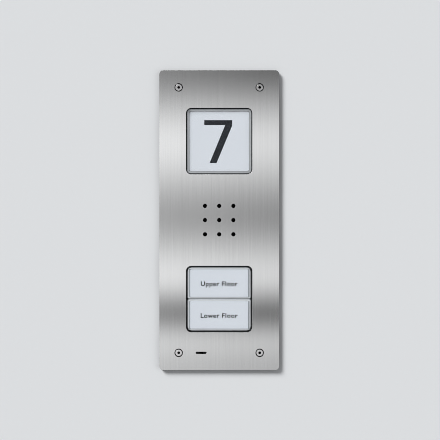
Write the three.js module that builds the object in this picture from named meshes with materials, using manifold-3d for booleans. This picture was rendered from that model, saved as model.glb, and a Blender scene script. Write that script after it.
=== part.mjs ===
import * as THREE from 'three';
import { mergeVertices } from 'three/addons/utils/BufferGeometryUtils.js';
import Module from 'manifold-3d';

// A flush-mounted door intercom panel, in millimetres.
// Everything is laid out in the panel's own frame: x to the right, y up, z out of the wall, with the
// wall's surface at z = 0 and the centre of the front plate at x = y = 0. The exported group turns
// that frame so that the panel stands upright, with +Z up and its front towards -Y.

// ---------------------------------------------------------------- driving sizes

const GAP = 0.1; // between two faces that rest on each other
const FIT = 0.2; // each side of a piece that drops into another

const PLATE = { width: 120, height: 300, thickness: 3, corner: 4 };
const SEAL = { thickness: 1, inset: 3, band: 4 };
const WINDOW = { size: 66.3, corner: 5.2, fromPlateEnd: 71 };
const SPEAKER_HOLES = { diameter: 4.2, pitch: 14.2, perSide: 3 };
const MIC_SLOT = { length: 10.8, width: 2.1, offset: 18 };

const SCREW = { diameter: 4, length: 20, head: 7.6, socket: 2.5, socketDepth: 1.8 };
const SCREW_INSET = { x: 19.5, y: 17.25 };
const COUNTERSINK = { aroundHead: 0.4, aroundShank: 0.25 };
const INSERT = { diameter: 6, aroundScrew: 0.15, length: 8, recess: 1 };
const STUD = { diameter: 3, length: 7 };
const NUT = { acrossFlats: 5.5, height: 2.4 };
const LUG = { reach: 4.85, radius: 3.8, thickness: 3 };

const BOX = { inset: 8, depth: 46.5, behindWall: 0.5, wall: 2, corner: 3, boss: 9, rib: 1.5, ribBehind: 9 };
const BOX_SLOT = { length: 10, width: 5.4, x: 30, fromEnd: 42 };
const KNOCKOUT = { diameter: 20, groove: 1, depth: 1.2, x: 30, behind: 28 };
const GROMMET = { hole: 16, bore: 8, flange: 20, lip: 1.6 };

const MODULE = { border: 5, corner: 3 };
const BOARD = { thickness: 1.6, edge: 5.2, ledge: 2 };
const LED = { size: 5, height: 1.6, lens: 3.6 };
const PLUG = { width: 8, height: 5, depth: 4 };

const COVER = { recess: 1.4, gap: 0.65, pane: 1.4, wall: 2.5, flange: 1.5, overlap: 1.85 };
const SHEET = { thickness: 0.3 };
const DIFFUSER = { thickness: 2, ledge: 1.3, ledgeDepth: 1.8 };
const LIGHT_CHAMBER = { depth: 12, ledOffset: 14 };

const BUTTON = { gap: 1.65, split: 0.8, travel: 1.2, below: 0.2, pane: 1.6, wall: 1.3 };
const BUTTON_CORNER = { outer: 4.4, inner: 1 };
const LABEL = { thickness: 0.25, marginX: 1, marginY: 0.3 };
const CARRIER = { flange: 1.8, beyondWindow: 1.35, guide: 0.5, pin: 3, pinInset: 4, pinBelowFloor: 1.5 };
const LIP = { thickness: 1.2, clearance: 0.15 };
const STEM = { diameter: 4, belowFloor: 0.8 };
const SPRING = { length: 5.1, coil: 6.6, wire: 0.7, turns: 4 };
const FLOOR = { thickness: 1.5, sleeve: 6, sleeveHeight: 2.5 };
const SWITCH = { size: 6.2, height: 3.5, plunger: 3.5, proud: 1.6, sunk: 1.1 };
const LIGHT_WINDOW = { width: 12, height: 8 };

const MEMBRANE = { diameter: 46, thickness: 0.3 };
const GASKET = { diameter: 50, band: 3, thickness: 1.4 };
const SPEAKER = { diameter: 50, flange: 1.2, depth: 11, wall: 1, neck: 13, coil: 11 };
const SPEAKER_TAB = { reach: 4.5, width: 6 };
const MAGNET = { diameter: 28, height: 6 };
const HOUSING = { height: 74, wall: 2, ringWall: 1.5, behindMagnet: 1, standoff: 2, standoffDiameter: 6 };
const MAIN_BOARD = { margin: 4.3, height: 60, standoffX: 32, standoffY: 26 };
const CHIP = { width: 18, height: 10, thickness: 2.6, x: 4, y: 10 };
const CAPACITOR = { diameter: 8, height: 11, fromEdge: 10, y: 8 };
const TERMINALS = { count: 6, pitch: 5, size: 10, wireWay: 3.4, screwWay: 3.6, y: -10 };
const TRIMMER = { size: 9.5, height: 5, sunk: 2, fromEdge: 9, y: 14 };
const ROTOR = { diameter: 6.2, height: 2.9, slot: 0.9, slotDepth: 1, slotLength: 5 };

const MICROPHONE = { diameter: 9.7, height: 6.7, boot: 13, lip: 1.6, channel: 4 };
const LEAD = { flat: 2.4, speaker: 1.6 };
const LEAD_WAY = { x: 22, y: -26, hole: 4 };

// ---------------------------------------------------------------- levels and places worked out from them

const plateBack = SEAL.thickness;
const plateFront = plateBack + PLATE.thickness;
const behindPlate = plateBack - GAP;
const windowY = PLATE.height / 2 - WINDOW.fromPlateEnd;
const screwX = PLATE.width / 2 - SCREW_INSET.x;
const screwY = PLATE.height / 2 - SCREW_INSET.y;
const moduleSize = WINDOW.size + 2 * MODULE.border;
const screwBore = SCREW.diameter + 2 * COUNTERSINK.aroundShank;
const studX = moduleSize / 2 + LUG.reach;
const boardSize = moduleSize - 2 * BOARD.edge;
const wallBoxFront = -BOX.behindWall;
const wallBoxBack = wallBoxFront - BOX.depth;
const boxWidth = PLATE.width - 2 * BOX.inset;
const boxHeight = PLATE.height - 2 * BOX.inset;

// ---------------------------------------------------------------- finishes

function finish(color, roughness, metalness = 0) {
  return new THREE.MeshStandardMaterial({ color, roughness, metalness });
}

const FINISH = {
  brushedSteel: finish(0xc9cbcc, 0.32, 1),
  screwSteel: finish(0xb4b6b8, 0.3, 1),
  zincSteel: finish(0xb9bcc0, 0.4, 1),
  brass: finish(0xc8a55a, 0.35, 1),
  foam: finish(0x1c1d1f, 0.95),
  boxPlastic: finish(0x3a3d40, 0.6),
  rubber: finish(0x191a1b, 0.85),
  clearPlastic: finish(0xeef2f5, 0.08),
  labelSheet: finish(0xd2d8e2, 0.55),
  diffuserPlastic: finish(0xf2f3ee, 0.5),
  framePlastic: finish(0x1f2224, 0.55),
  carrierPlastic: finish(0xe9ebe8, 0.45),
  board: finish(0x1f5a3a, 0.5),
  ledBody: finish(0xf6f3df, 0.35),
  springSteel: finish(0xa9adb2, 0.3, 1),
  switchBody: finish(0x26282a, 0.45),
  plunger: finish(0xd8d5c8, 0.45),
  paperCone: finish(0x2b2a29, 0.85),
  basketSteel: finish(0x8d9196, 0.45, 1),
  magnet: finish(0x3c3e42, 0.6, 0.4),
  chipBlack: finish(0x17181a, 0.5),
  capacitorSleeve: finish(0x22304a, 0.4),
  terminalGreen: finish(0x2f7f4f, 0.45),
  trimmerBlue: finish(0x2b5fa8, 0.4),
  rotorWhite: finish(0xe6e6e2, 0.4),
  leadGrey: finish(0x6b6f74, 0.55),
  capsuleMetal: finish(0xaeb2b5, 0.35, 1),
};

// ---------------------------------------------------------------- solids

const wasm = await Module();
wasm.setup();

function solid(geometry) {
  const bare = geometry.clone();
  bare.deleteAttribute('normal');
  bare.deleteAttribute('uv');
  const merged = mergeVertices(bare, 1e-4);
  const corners = merged.index.array;
  const triangles = [];
  for (let i = 0; i < corners.length; i += 3) {
    const [a, b, c] = [corners[i], corners[i + 1], corners[i + 2]];
    if (a !== b && b !== c && c !== a) triangles.push(a, b, c);
  }
  const vertProperties = new Float32Array(merged.attributes.position.array);
  return new wasm.Manifold(new wasm.Mesh({ numProp: 3, vertProperties, triVerts: new Uint32Array(triangles) }));
}

function join(...parts) {
  return parts.reduce((whole, part) => whole.add(part));
}

function cut(body, ...tools) {
  return tools.reduce((rest, tool) => rest.subtract(tool), body);
}

// A rectangle about the origin. The corners' radii run clockwise from the top left, or are all alike.
function rounded(width, height, radius) {
  const [topLeft, topRight, bottomRight, bottomLeft] = Array.isArray(radius) ? radius : Array(4).fill(radius);
  const [x, y] = [width / 2, height / 2];
  const shape = new THREE.Shape();
  shape.absarc(x - topRight, y - topRight, topRight, 0, Math.PI / 2);
  shape.absarc(-x + topLeft, y - topLeft, topLeft, Math.PI / 2, Math.PI);
  shape.absarc(-x + bottomLeft, -y + bottomLeft, bottomLeft, Math.PI, Math.PI * 1.5);
  shape.absarc(x - bottomRight, -y + bottomRight, bottomRight, Math.PI * 1.5, Math.PI * 2);
  return shape;
}

function slab(shape, back, front, [x, y] = [0, 0], curveSegments = 4) {
  const geometry = new THREE.ExtrudeGeometry(shape, { depth: front - back, bevelEnabled: false, curveSegments });
  return solid(geometry.translate(x, y, back));
}

function block(width, height, back, front, at = [0, 0], radius = 0) {
  if (radius > 0) return slab(rounded(width, height, radius), back, front, at);
  const geometry = new THREE.BoxGeometry(width, height, front - back);
  return solid(geometry.translate(at[0], at[1], (back + front) / 2));
}

function disc(diameter, back, front, [x, y] = [0, 0], sides = 14) {
  const geometry = new THREE.CylinderGeometry(diameter / 2, diameter / 2, front - back, sides);
  return solid(geometry.rotateX(Math.PI / 2).translate(x, y, (back + front) / 2));
}

function ring(outer, inner, back, front, at = [0, 0], sides = 14) {
  return cut(disc(outer, back, front, at, sides), disc(inner, back - 1, front + 1, at, sides));
}

// A round piece about the z axis, from [radius, z] corners listed anticlockwise with radius across and z up.
function turned(corners, sides = 20) {
  const profile = [...corners, corners[0]].map(([radius, z]) => new THREE.Vector2(radius, z));
  return solid(new THREE.LatheGeometry(profile, sides).rotateX(Math.PI / 2));
}

function hexagon(acrossFlats, back, front, at) {
  return disc((acrossFlats * 2) / Math.sqrt(3), back, front, at, 6);
}

// A round wire or lead of the given diameter that follows a curve.
function tube(curve, diameter, steps, sides = 6) {
  const section = new THREE.Shape();
  for (let i = 0; i < sides; i++) {
    const turn = (i / sides) * Math.PI * 2;
    const [x, y] = [(Math.cos(turn) * diameter) / 2, (Math.sin(turn) * diameter) / 2];
    if (i === 0) section.moveTo(x, y);
    else section.lineTo(x, y);
  }
  section.closePath();
  return solid(new THREE.ExtrudeGeometry(section, { steps, extrudePath: curve, bevelEnabled: false }));
}

function piece(name, body, material, at = [0, 0]) {
  const { vertProperties, triVerts } = body.getMesh();
  const geometry = new THREE.BufferGeometry();
  geometry.setAttribute('position', new THREE.BufferAttribute(vertProperties, 3));
  geometry.setIndex(new THREE.BufferAttribute(triVerts, 1));
  geometry.computeVertexNormals();
  const mesh = new THREE.Mesh(geometry, material);
  mesh.name = name;
  mesh.position.set(at[0], at[1], 0);
  return mesh;
}

function groupAt([x, y], ...children) {
  const group = new THREE.Group();
  group.position.set(x, y, 0);
  group.add(...children);
  return group;
}

const SIDES = [
  ['left', -1],
  ['right', 1],
];
const HALVES = [
  ['upper', 1],
  ['lower', -1],
];
const CORNERS = HALVES.flatMap(([half, up]) =>
  SIDES.map(([side, right]) => ({ name: `${half}_${side}`, at: [right * screwX, up * screwY] })),
);

// ---------------------------------------------------------------- front plate, seal and screws

function countersink(at) {
  const [bore, mouth] = [screwBore / 2, SCREW.head / 2 + COUNTERSINK.aroundHead];
  const shoulder = plateFront - (mouth - bore);
  const tool = turned([
    [0, plateBack - 1],
    [bore, plateBack - 1],
    [bore, shoulder],
    [mouth, plateFront],
    [mouth, plateFront + 1],
    [0, plateFront + 1],
  ]);
  return tool.translate([at[0], at[1], 0]);
}

function speakerHoles() {
  const middle = (SPEAKER_HOLES.perSide - 1) / 2;
  const tools = [];
  for (let row = 0; row < SPEAKER_HOLES.perSide; row++) {
    for (let column = 0; column < SPEAKER_HOLES.perSide; column++) {
      const at = [(column - middle) * SPEAKER_HOLES.pitch, (row - middle) * SPEAKER_HOLES.pitch];
      tools.push(disc(SPEAKER_HOLES.diameter, plateBack - 1, plateFront + 1, at, 12));
    }
  }
  return tools;
}

function frontPlate() {
  const sheet = block(PLATE.width, PLATE.height, plateBack, plateFront, [0, 0], PLATE.corner);
  const windows = [windowY, -windowY].map((y) =>
    block(WINDOW.size, WINDOW.size, plateBack - 1, plateFront + 1, [0, y], WINDOW.corner),
  );
  const slotAt = [-MIC_SLOT.offset, -screwY];
  const slot = slab(
    rounded(MIC_SLOT.length, MIC_SLOT.width, MIC_SLOT.width / 2),
    plateBack - 1,
    plateFront + 1,
    slotAt,
  );
  const studs = [windowY, 0, -windowY].flatMap((y) =>
    [-studX, studX].map((x) => disc(STUD.diameter, plateBack - STUD.length, plateBack + 0.5, [x, y], 12)),
  );
  const holes = [...windows, ...speakerHoles(), slot, ...CORNERS.map((corner) => countersink(corner.at))];
  return piece('front_plate', join(cut(sheet, ...holes), ...studs), FINISH.brushedSteel);
}

function plateSeal() {
  const [width, height] = [PLATE.width - 2 * SEAL.inset, PLATE.height - 2 * SEAL.inset];
  const outside = block(width, height, 0, behindPlate, [0, 0], PLATE.corner / 2);
  const inside = block(width - 2 * SEAL.band, height - 2 * SEAL.band, -1, behindPlate + 1);
  return piece('plate_seal', cut(outside, inside), FINISH.foam);
}

function plateScrews() {
  const [head, shank] = [SCREW.head / 2, SCREW.diameter / 2];
  const top = plateFront - GAP;
  const tip = plateFront - SCREW.length;
  const chamfer = shank / 4;
  const body = turned([
    [0, tip],
    [shank - chamfer, tip],
    [shank, tip + chamfer],
    [shank, top - (head - shank)],
    [head, top],
    [0, top],
  ]);
  const screw = cut(body, hexagon(SCREW.socket, top - SCREW.socketDepth, top + 1));
  return CORNERS.map((corner) => piece(`plate_screw_${corner.name}`, screw, FINISH.screwSteel, corner.at));
}

// ---------------------------------------------------------------- wall box

const insertFront = wallBoxFront - INSERT.recess;

function threadedInserts() {
  const bore = SCREW.diameter + 2 * INSERT.aroundScrew;
  const insert = ring(INSERT.diameter, bore, insertFront - INSERT.length, insertFront);
  return CORNERS.map((corner) => piece(`threaded_insert_${corner.name}`, insert, FINISH.brass, corner.at));
}

function screwBoss([x, y]) {
  const toWall = boxWidth / 2 - BOX.wall / 2 - Math.abs(x);
  const rib = block(
    toWall,
    BOX.rib,
    wallBoxBack + BOX.wall / 2,
    wallBoxFront - BOX.ribBehind,
    [x + (Math.sign(x) * toWall) / 2, y],
  );
  return join(disc(BOX.boss, wallBoxBack + BOX.wall / 2, wallBoxFront, [x, y]), rib);
}

function bossBore(at) {
  const tip = plateFront - SCREW.length;
  return join(
    disc(INSERT.diameter + 2 * FIT, insertFront - INSERT.length - GAP, wallBoxFront + 1, at),
    disc(screwBore, tip - 2, wallBoxFront + 1, at, 12),
  );
}

// Turns a piece made about the z axis so that it stands in the box's end wall, with its outer face at z = 0.
function inEndWall(body, x, up) {
  const turn = body.rotate([up > 0 ? -90 : 90, 0, 0]);
  return turn.translate([x, (up * boxHeight) / 2, -KNOCKOUT.behind]);
}

function wallBox() {
  const shell = block(boxWidth, boxHeight, wallBoxBack, wallBoxFront, [0, 0], BOX.corner);
  const hollow = block(
    boxWidth - 2 * BOX.wall,
    boxHeight - 2 * BOX.wall,
    wallBoxBack + BOX.wall,
    wallBoxFront + 1,
    [0, 0],
    BOX.corner - BOX.wall,
  );
  const slots = HALVES.flatMap(([, up]) =>
    SIDES.map(([, right]) => {
      const at = [right * BOX_SLOT.x, up * (boxHeight / 2 - BOX_SLOT.fromEnd)];
      const shape = rounded(BOX_SLOT.width, BOX_SLOT.length, BOX_SLOT.width / 2);
      return slab(shape, wallBoxBack - 1, wallBoxBack + BOX.wall + 1, at);
    }),
  );
  const groove = ring(KNOCKOUT.diameter, KNOCKOUT.diameter - 2 * KNOCKOUT.groove, -KNOCKOUT.depth, 1);
  const knockouts = HALVES.flatMap(([, up]) => SIDES.map(([, right]) => inEndWall(groove, right * KNOCKOUT.x, up)));
  const entry = inEndWall(disc(GROMMET.hole, -BOX.wall - 1, 1, [0, 0], 20), 0, 1);
  const bosses = CORNERS.map((corner) => screwBoss(corner.at));
  const bores = CORNERS.map((corner) => bossBore(corner.at));
  const body = cut(join(cut(shell, hollow), ...bosses), ...bores, ...slots, ...knockouts, entry);
  return piece('wall_box', body, FINISH.boxPlastic);
}

function cableGrommet() {
  const [bore, neck, flange] = [GROMMET.bore / 2, GROMMET.hole / 2 - FIT, GROMMET.flange / 2];
  const [inner, outer] = [-BOX.wall - GAP, GAP];
  const body = turned(
    [
      [bore, inner - GROMMET.lip],
      [flange, inner - GROMMET.lip],
      [flange, inner],
      [neck, inner],
      [neck, outer],
      [flange, outer],
      [flange, outer + GROMMET.lip],
      [bore, outer + GROMMET.lip],
    ],
    16,
  );
  return piece('cable_grommet', inEndWall(body, 0, 1), FINISH.rubber);
}

// ---------------------------------------------------------------- pieces that the modules share

function lugs(side) {
  return [-1, 1].map((right) =>
    join(
      disc(2 * LUG.radius, behindPlate - LUG.thickness, behindPlate, [right * studX, 0]),
      block(LUG.reach + 1, 2 * LUG.radius, behindPlate - LUG.thickness, behindPlate, [
        right * (side + (LUG.reach - 1) / 2),
        0,
      ]),
    ),
  );
}

function lugBores() {
  return [-studX, studX].map((x) =>
    disc(STUD.diameter + 2 * FIT, behindPlate - LUG.thickness - 1, behindPlate + 1, [x, 0], 12),
  );
}

function studNuts(owner) {
  const front = behindPlate - LUG.thickness - GAP;
  const nut = cut(
    hexagon(NUT.acrossFlats, front - NUT.height, front),
    disc(STUD.diameter + 2 * FIT, front - NUT.height - 1, front + 1, [0, 0], 12),
  );
  return SIDES.map(([side, right]) => piece(`${owner}_nut_${side}`, nut, FINISH.zincSteel, [right * studX, 0]));
}

function led(name, boardFront, at) {
  const back = boardFront + GAP;
  const body = join(
    block(LED.size, LED.size, back, back + LED.height),
    disc(LED.lens, back + LED.height / 2, back + LED.height * 1.4, [0, 0], 12),
  );
  return piece(name, body, FINISH.ledBody, at);
}

// ---------------------------------------------------------------- number module

const coverFront = plateFront - COVER.recess;
const sheetFront = coverFront - COVER.pane - GAP;
const diffuserFront = sheetFront - SHEET.thickness - GAP;
const diffuserBack = diffuserFront - DIFFUSER.thickness;
const coverBack = behindPlate - COVER.flange;
const coverPad = WINDOW.size - 2 * COVER.gap;
const coverCavity = coverPad - 2 * COVER.wall;
const sheetSize = coverCavity - 2 * FIT;
const numberBoardFront = diffuserBack - LIGHT_CHAMBER.depth;
const numberBoardBack = numberBoardFront - BOARD.thickness;

function numberCover() {
  const pad = block(coverPad, coverPad, coverBack, coverFront, [0, 0], WINDOW.corner - COVER.gap);
  const flangeSize = WINDOW.size + 2 * COVER.overlap;
  const flange = block(flangeSize, flangeSize, coverBack, behindPlate, [0, 0], WINDOW.corner);
  const cavity = block(coverCavity, coverCavity, coverBack - 1, sheetFront + GAP);
  return piece('number_cover', cut(join(pad, flange), cavity), FINISH.clearPlastic);
}

function numberFrame() {
  const back = numberBoardBack - GAP;
  const flangeSize = WINDOW.size + 2 * (COVER.overlap + FIT);
  const chamber = coverCavity - 2 * DIFFUSER.ledge;
  const body = block(moduleSize, moduleSize, back, behindPlate, [0, 0], MODULE.corner);
  const holes = [
    block(flangeSize, flangeSize, coverBack - GAP, behindPlate + 1),
    block(coverCavity, coverCavity, diffuserBack - GAP, behindPlate + 1),
    block(chamber, chamber, back - 1, behindPlate + 1),
    block(boardSize + 2 * FIT, boardSize + 2 * FIT, back - 1, numberBoardFront + GAP),
  ];
  const bare = join(cut(body, ...holes), ...lugs(moduleSize / 2));
  return piece('number_frame', cut(bare, ...lugBores()), FINISH.framePlastic);
}

function numberModule() {
  const sheet = block(sheetSize, sheetSize, sheetFront - SHEET.thickness, sheetFront);
  const diffuser = block(sheetSize, sheetSize, diffuserBack, diffuserFront);
  const board = block(boardSize, boardSize, numberBoardBack, numberBoardFront);
  return groupAt(
    [0, windowY],
    numberCover(),
    piece('number_sheet', sheet, FINISH.labelSheet),
    piece('number_diffuser', diffuser, FINISH.diffuserPlastic),
    numberFrame(),
    piece('number_board', board, FINISH.board),
    ...SIDES.map(([side, right]) =>
      led(`number_led_${side}`, numberBoardFront, [right * LIGHT_CHAMBER.ledOffset, 0]),
    ),
    ...studNuts('number_frame'),
  );
}

// ---------------------------------------------------------------- button module

const capFront = plateFront - BUTTON.below;
const labelFront = capFront - BUTTON.pane - GAP;
const platformFront = labelFront - LABEL.thickness - GAP;
const lipBack = behindPlate - LIP.thickness;
const flangeFront = lipBack - GAP;
const flangeBack = flangeFront - CARRIER.flange;
const floorFront = flangeBack - SPRING.length - 2 * GAP;
const floorBack = floorFront - FLOOR.thickness;
const stemTip = floorBack - STEM.belowFloor;
const plungerFront = stemTip - GAP;
const switchFront = plungerFront - SWITCH.proud;
const buttonBoardFront = switchFront - SWITCH.height - GAP;
const buttonBoardBack = buttonBoardFront - BOARD.thickness;

const capWidth = WINDOW.size - 2 * BUTTON.gap;
const capHeight = (capWidth - BUTTON.split) / 2;
const buttonY = (capHeight + BUTTON.split) / 2;
const platformWidth = capWidth - 2 * (BUTTON.wall + FIT);
const platformHeight = capHeight - 2 * (BUTTON.wall + FIT);
const flangeReach = WINDOW.size / 2 + CARRIER.beyondWindow;
const pinX = platformWidth / 2 - CARRIER.pinInset;
const lightX = pinX / 2;

// The outline of an upper or lower half, with large corners outside and small ones at the split.
function halfOutline(width, height, outer, inner, up) {
  return rounded(width, height, up > 0 ? [outer, outer, inner, inner] : [inner, inner, outer, outer]);
}

function callButton(half, up) {
  const outline = halfOutline(capWidth, capHeight, BUTTON_CORNER.outer, BUTTON_CORNER.inner, up);
  const cavity = block(
    capWidth - 2 * BUTTON.wall,
    capHeight - 2 * BUTTON.wall,
    flangeFront - 1,
    labelFront + GAP,
  );
  const body = cut(slab(outline, flangeFront + FIT, capFront), cavity);
  return piece(`${half}_call_button`, body, FINISH.clearPlastic);
}

function buttonCarrier(half, up) {
  const flangeHeight = flangeReach - CARRIER.guide;
  const flangeY = up * ((flangeReach + CARRIER.guide) / 2 - buttonY);
  const parts = [
    block(platformWidth, platformHeight, flangeFront - FIT, platformFront),
    block(2 * flangeReach, flangeHeight, flangeBack, flangeFront, [0, flangeY]),
    disc(STEM.diameter, stemTip, flangeFront),
    ...SIDES.map(([, right]) =>
      disc(CARRIER.pin, floorBack - CARRIER.pinBelowFloor, flangeFront, [right * pinX, 0], 12),
    ),
  ];
  return piece(`${half}_button_carrier`, join(...parts), FINISH.carrierPlastic);
}

class Helix extends THREE.Curve {
  getPoint(t) {
    const turn = t * SPRING.turns * Math.PI * 2;
    const radius = SPRING.coil / 2;
    const [low, high] = [floorFront + GAP + SPRING.wire / 2, flangeBack - GAP - SPRING.wire / 2];
    return new THREE.Vector3(Math.cos(turn) * radius, Math.sin(turn) * radius, low + t * (high - low));
  }
}

function keySwitch(half) {
  const back = buttonBoardFront + GAP;
  const wellFloor = switchFront - SWITCH.sunk - BUTTON.travel - GAP;
  const well = disc(SWITCH.plunger + 2 * FIT, wellFloor, switchFront + 1);
  const body = cut(block(SWITCH.size, SWITCH.size, back, switchFront), well);
  return [
    piece(`${half}_switch_body`, body, FINISH.switchBody),
    piece(`${half}_switch_plunger`, disc(SWITCH.plunger, switchFront - SWITCH.sunk, plungerFront), FINISH.plunger),
  ];
}

function buttonFrame() {
  const back = buttonBoardBack - GAP;
  const opening = WINDOW.size + 2 * LIP.clearance;
  const chamber = 2 * (flangeReach + CARRIER.guide);
  const switchRoom = boardSize - 2 * BOARD.ledge;
  const posts = HALVES.flatMap(([, up]) =>
    SIDES.map(([, right]) => [right * pinX, up * buttonY]),
  );
  const body = block(moduleSize, moduleSize, back, behindPlate, [0, 0], MODULE.corner);
  const rooms = [
    block(opening, opening, lipBack - 1, behindPlate + 1, [0, 0], WINDOW.corner),
    block(chamber, chamber, floorFront, lipBack),
    block(switchRoom, switchRoom, back - 1, floorBack),
    block(boardSize + 2 * FIT, boardSize + 2 * FIT, back - 1, buttonBoardFront + GAP),
  ];
  const sleeves = posts.map((at) => disc(FLOOR.sleeve, floorBack, floorFront + FLOOR.sleeveHeight, at));
  const holes = [
    ...posts.map((at) => disc(CARRIER.pin + 2 * FIT, floorBack - 1, lipBack, at, 12)),
    ...HALVES.map(([, up]) => disc(STEM.diameter + 3 * FIT, floorBack - 1, floorFront + 1, [0, up * buttonY])),
    ...HALVES.map(([, up]) =>
      block(LIGHT_WINDOW.width, LIGHT_WINDOW.height, floorBack - 1, floorFront + 1, [lightX, up * buttonY]),
    ),
  ];
  const bare = join(cut(body, ...rooms), ...sleeves, ...lugs(moduleSize / 2));
  return piece('button_frame', cut(bare, ...holes, ...lugBores()), FINISH.framePlastic);
}

function buttonModule() {
  const [labelWidth, labelHeight] = [platformWidth - 2 * LABEL.marginX, platformHeight - 2 * LABEL.marginY];
  const label = block(labelWidth, labelHeight, labelFront - LABEL.thickness, labelFront);
  const halves = HALVES.map(([half, up]) =>
    groupAt(
      [0, up * buttonY],
      callButton(half, up),
      piece(`${half}_name_label`, label, FINISH.labelSheet),
      buttonCarrier(half, up),
      piece(`${half}_return_spring`, tube(new Helix(), SPRING.wire, SPRING.turns * 10, 5), FINISH.springSteel),
      ...keySwitch(half),
      led(`${half}_button_led`, buttonBoardFront, [lightX, 0]),
    ),
  );
  return groupAt(
    [0, -windowY],
    ...halves,
    buttonFrame(),
    piece('button_board', block(boardSize, boardSize, buttonBoardBack, buttonBoardFront), FINISH.board),
    ...studNuts('button_frame'),
  );
}

// ---------------------------------------------------------------- speech module

const membraneBack = behindPlate - MEMBRANE.thickness;
const gasketFront = membraneBack - GAP;
const basketFront = gasketFront - GASKET.thickness - GAP;
const basketFlangeBack = basketFront - SPEAKER.flange;
const basketBack = basketFront - SPEAKER.depth;
const magnetFront = basketBack - GAP;
const magnetBack = magnetFront - MAGNET.height;
const housingFloor = magnetBack - HOUSING.behindMagnet;
const housingBack = housingFloor - HOUSING.wall;
const mainBoardFront = housingBack - HOUSING.standoff - GAP;
const mainBoardBack = mainBoardFront - BOARD.thickness;
const onMainBoard = mainBoardBack - GAP;
const mainBoardWidth = moduleSize - MAIN_BOARD.margin;
const tabEnd = SPEAKER.diameter / 2 + SPEAKER_TAB.reach;

function speakerBasket() {
  const [rim, neck] = [SPEAKER.diameter / 2, SPEAKER.neck];
  const mouth = rim - GASKET.band - SPEAKER.wall / 2;
  const body = turned([
    [SPEAKER.coil / 2 + 1, basketBack],
    [neck, basketBack],
    [neck, basketBack + SPEAKER.wall],
    [mouth + SPEAKER.wall, basketFlangeBack],
    [rim, basketFlangeBack],
    [rim, basketFront],
    [mouth, basketFront],
    [neck - SPEAKER.wall, basketBack + SPEAKER.wall],
    [SPEAKER.coil / 2 + 1, basketBack + SPEAKER.wall],
  ]);
  const tabLength = SPEAKER_TAB.reach + GASKET.band;
  const tabX = tabEnd - tabLength / 2;
  const tab = block(tabLength, SPEAKER_TAB.width, basketFlangeBack, basketFront, [tabX, 0]).rotate([0, 0, -45]);
  return piece('speaker_basket', join(body, tab), FINISH.basketSteel);
}

function speakerCone() {
  const [skin, former] = [0.5, SPEAKER.coil / 2];
  const rim = SPEAKER.diameter / 2 - GASKET.band - 2 * SPEAKER.wall;
  const foot = basketBack + SPEAKER.wall + 2;
  const body = turned([
    [0, foot + 2],
    [former - skin, foot + 1],
    [former - skin, basketBack + GAP],
    [former, basketBack + GAP],
    [former, foot],
    [rim - 3, basketFront - 2],
    [rim, basketFront - 1],
    [rim, basketFront - 1 + skin],
    [rim - 1.5, basketFront - 1 + 2 * skin],
    [rim - 3, basketFront - 2 + skin],
    [former, foot + skin + 1],
    [0, foot + skin + 3],
  ]);
  return piece('speaker_cone', body, FINISH.paperCone);
}

function speechHousing() {
  const inner = [moduleSize - 2 * HOUSING.wall, HOUSING.height - 2 * HOUSING.wall];
  const shell = cut(
    block(moduleSize, HOUSING.height, housingBack, behindPlate, [0, 0], MODULE.corner),
    block(...inner, housingFloor, behindPlate + 1),
  );
  const ringBack = housingFloor - HOUSING.wall / 2;
  const ringFront = basketFlangeBack - GAP;
  const support = ring(SPEAKER.diameter, SPEAKER.diameter - 2 * HOUSING.ringWall, ringBack, ringFront, [0, 0], 24);
  const standoffs = HALVES.flatMap(([, up]) =>
    SIDES.map(([, right]) => {
      const at = [right * MAIN_BOARD.standoffX, up * MAIN_BOARD.standoffY];
      return disc(HOUSING.standoffDiameter, housingBack - HOUSING.standoff, housingFloor, at, 12);
    }),
  );
  const leadHole = disc(LEAD_WAY.hole, housingBack - 1, housingFloor + 1, [LEAD_WAY.x, LEAD_WAY.y], 12);
  const body = cut(join(shell, support, ...standoffs, ...lugs(moduleSize / 2)), leadHole, ...lugBores());
  return piece('speech_housing', body, FINISH.framePlastic);
}

function mainBoard() {
  const board = block(mainBoardWidth, MAIN_BOARD.height, mainBoardBack, mainBoardFront);
  const leadHole = disc(LEAD_WAY.hole, mainBoardBack - 1, mainBoardFront + 1, [LEAD_WAY.x, LEAD_WAY.y], 12);
  return piece('main_board', cut(board, leadHole), FINISH.board);
}

function terminalBlock() {
  const back = onMainBoard - TERMINALS.size;
  const body = block(TERMINALS.count * TERMINALS.pitch, TERMINALS.size, back, onMainBoard);
  const ways = [];
  for (let i = 0; i < TERMINALS.count; i++) {
    const x = (i - (TERMINALS.count - 1) / 2) * TERMINALS.pitch;
    const middle = onMainBoard - TERMINALS.size / 2;
    const half = TERMINALS.wireWay / 2;
    ways.push(block(TERMINALS.wireWay, TERMINALS.size, middle - half, middle + half, [x, -TERMINALS.size / 2]));
    ways.push(disc(TERMINALS.screwWay, back - 1, back + 3, [x, 0], 12));
  }
  return piece('terminal_block', cut(body, ...ways), FINISH.terminalGreen, [0, TERMINALS.y]);
}

function volumeTrimmer() {
  const at = [mainBoardWidth / 2 - TRIMMER.fromEdge, TRIMMER.y];
  const back = onMainBoard - TRIMMER.height;
  const well = disc(ROTOR.diameter + 2 * FIT, back - 1, back + TRIMMER.sunk, [0, 0], 20);
  const rotorFront = back + TRIMMER.sunk - GAP;
  const rotorBack = rotorFront - ROTOR.height;
  const slot = block(ROTOR.slot, ROTOR.slotLength, rotorBack - 1, rotorBack + ROTOR.slotDepth);
  const body = cut(block(TRIMMER.size, TRIMMER.size, back, onMainBoard), well);
  const rotor = cut(disc(ROTOR.diameter, rotorBack, rotorFront, [0, 0], 20), slot);
  return [
    piece('volume_trimmer_body', body, FINISH.trimmerBlue, at),
    piece('volume_trimmer_rotor', rotor, FINISH.rotorWhite, at),
  ];
}

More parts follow.
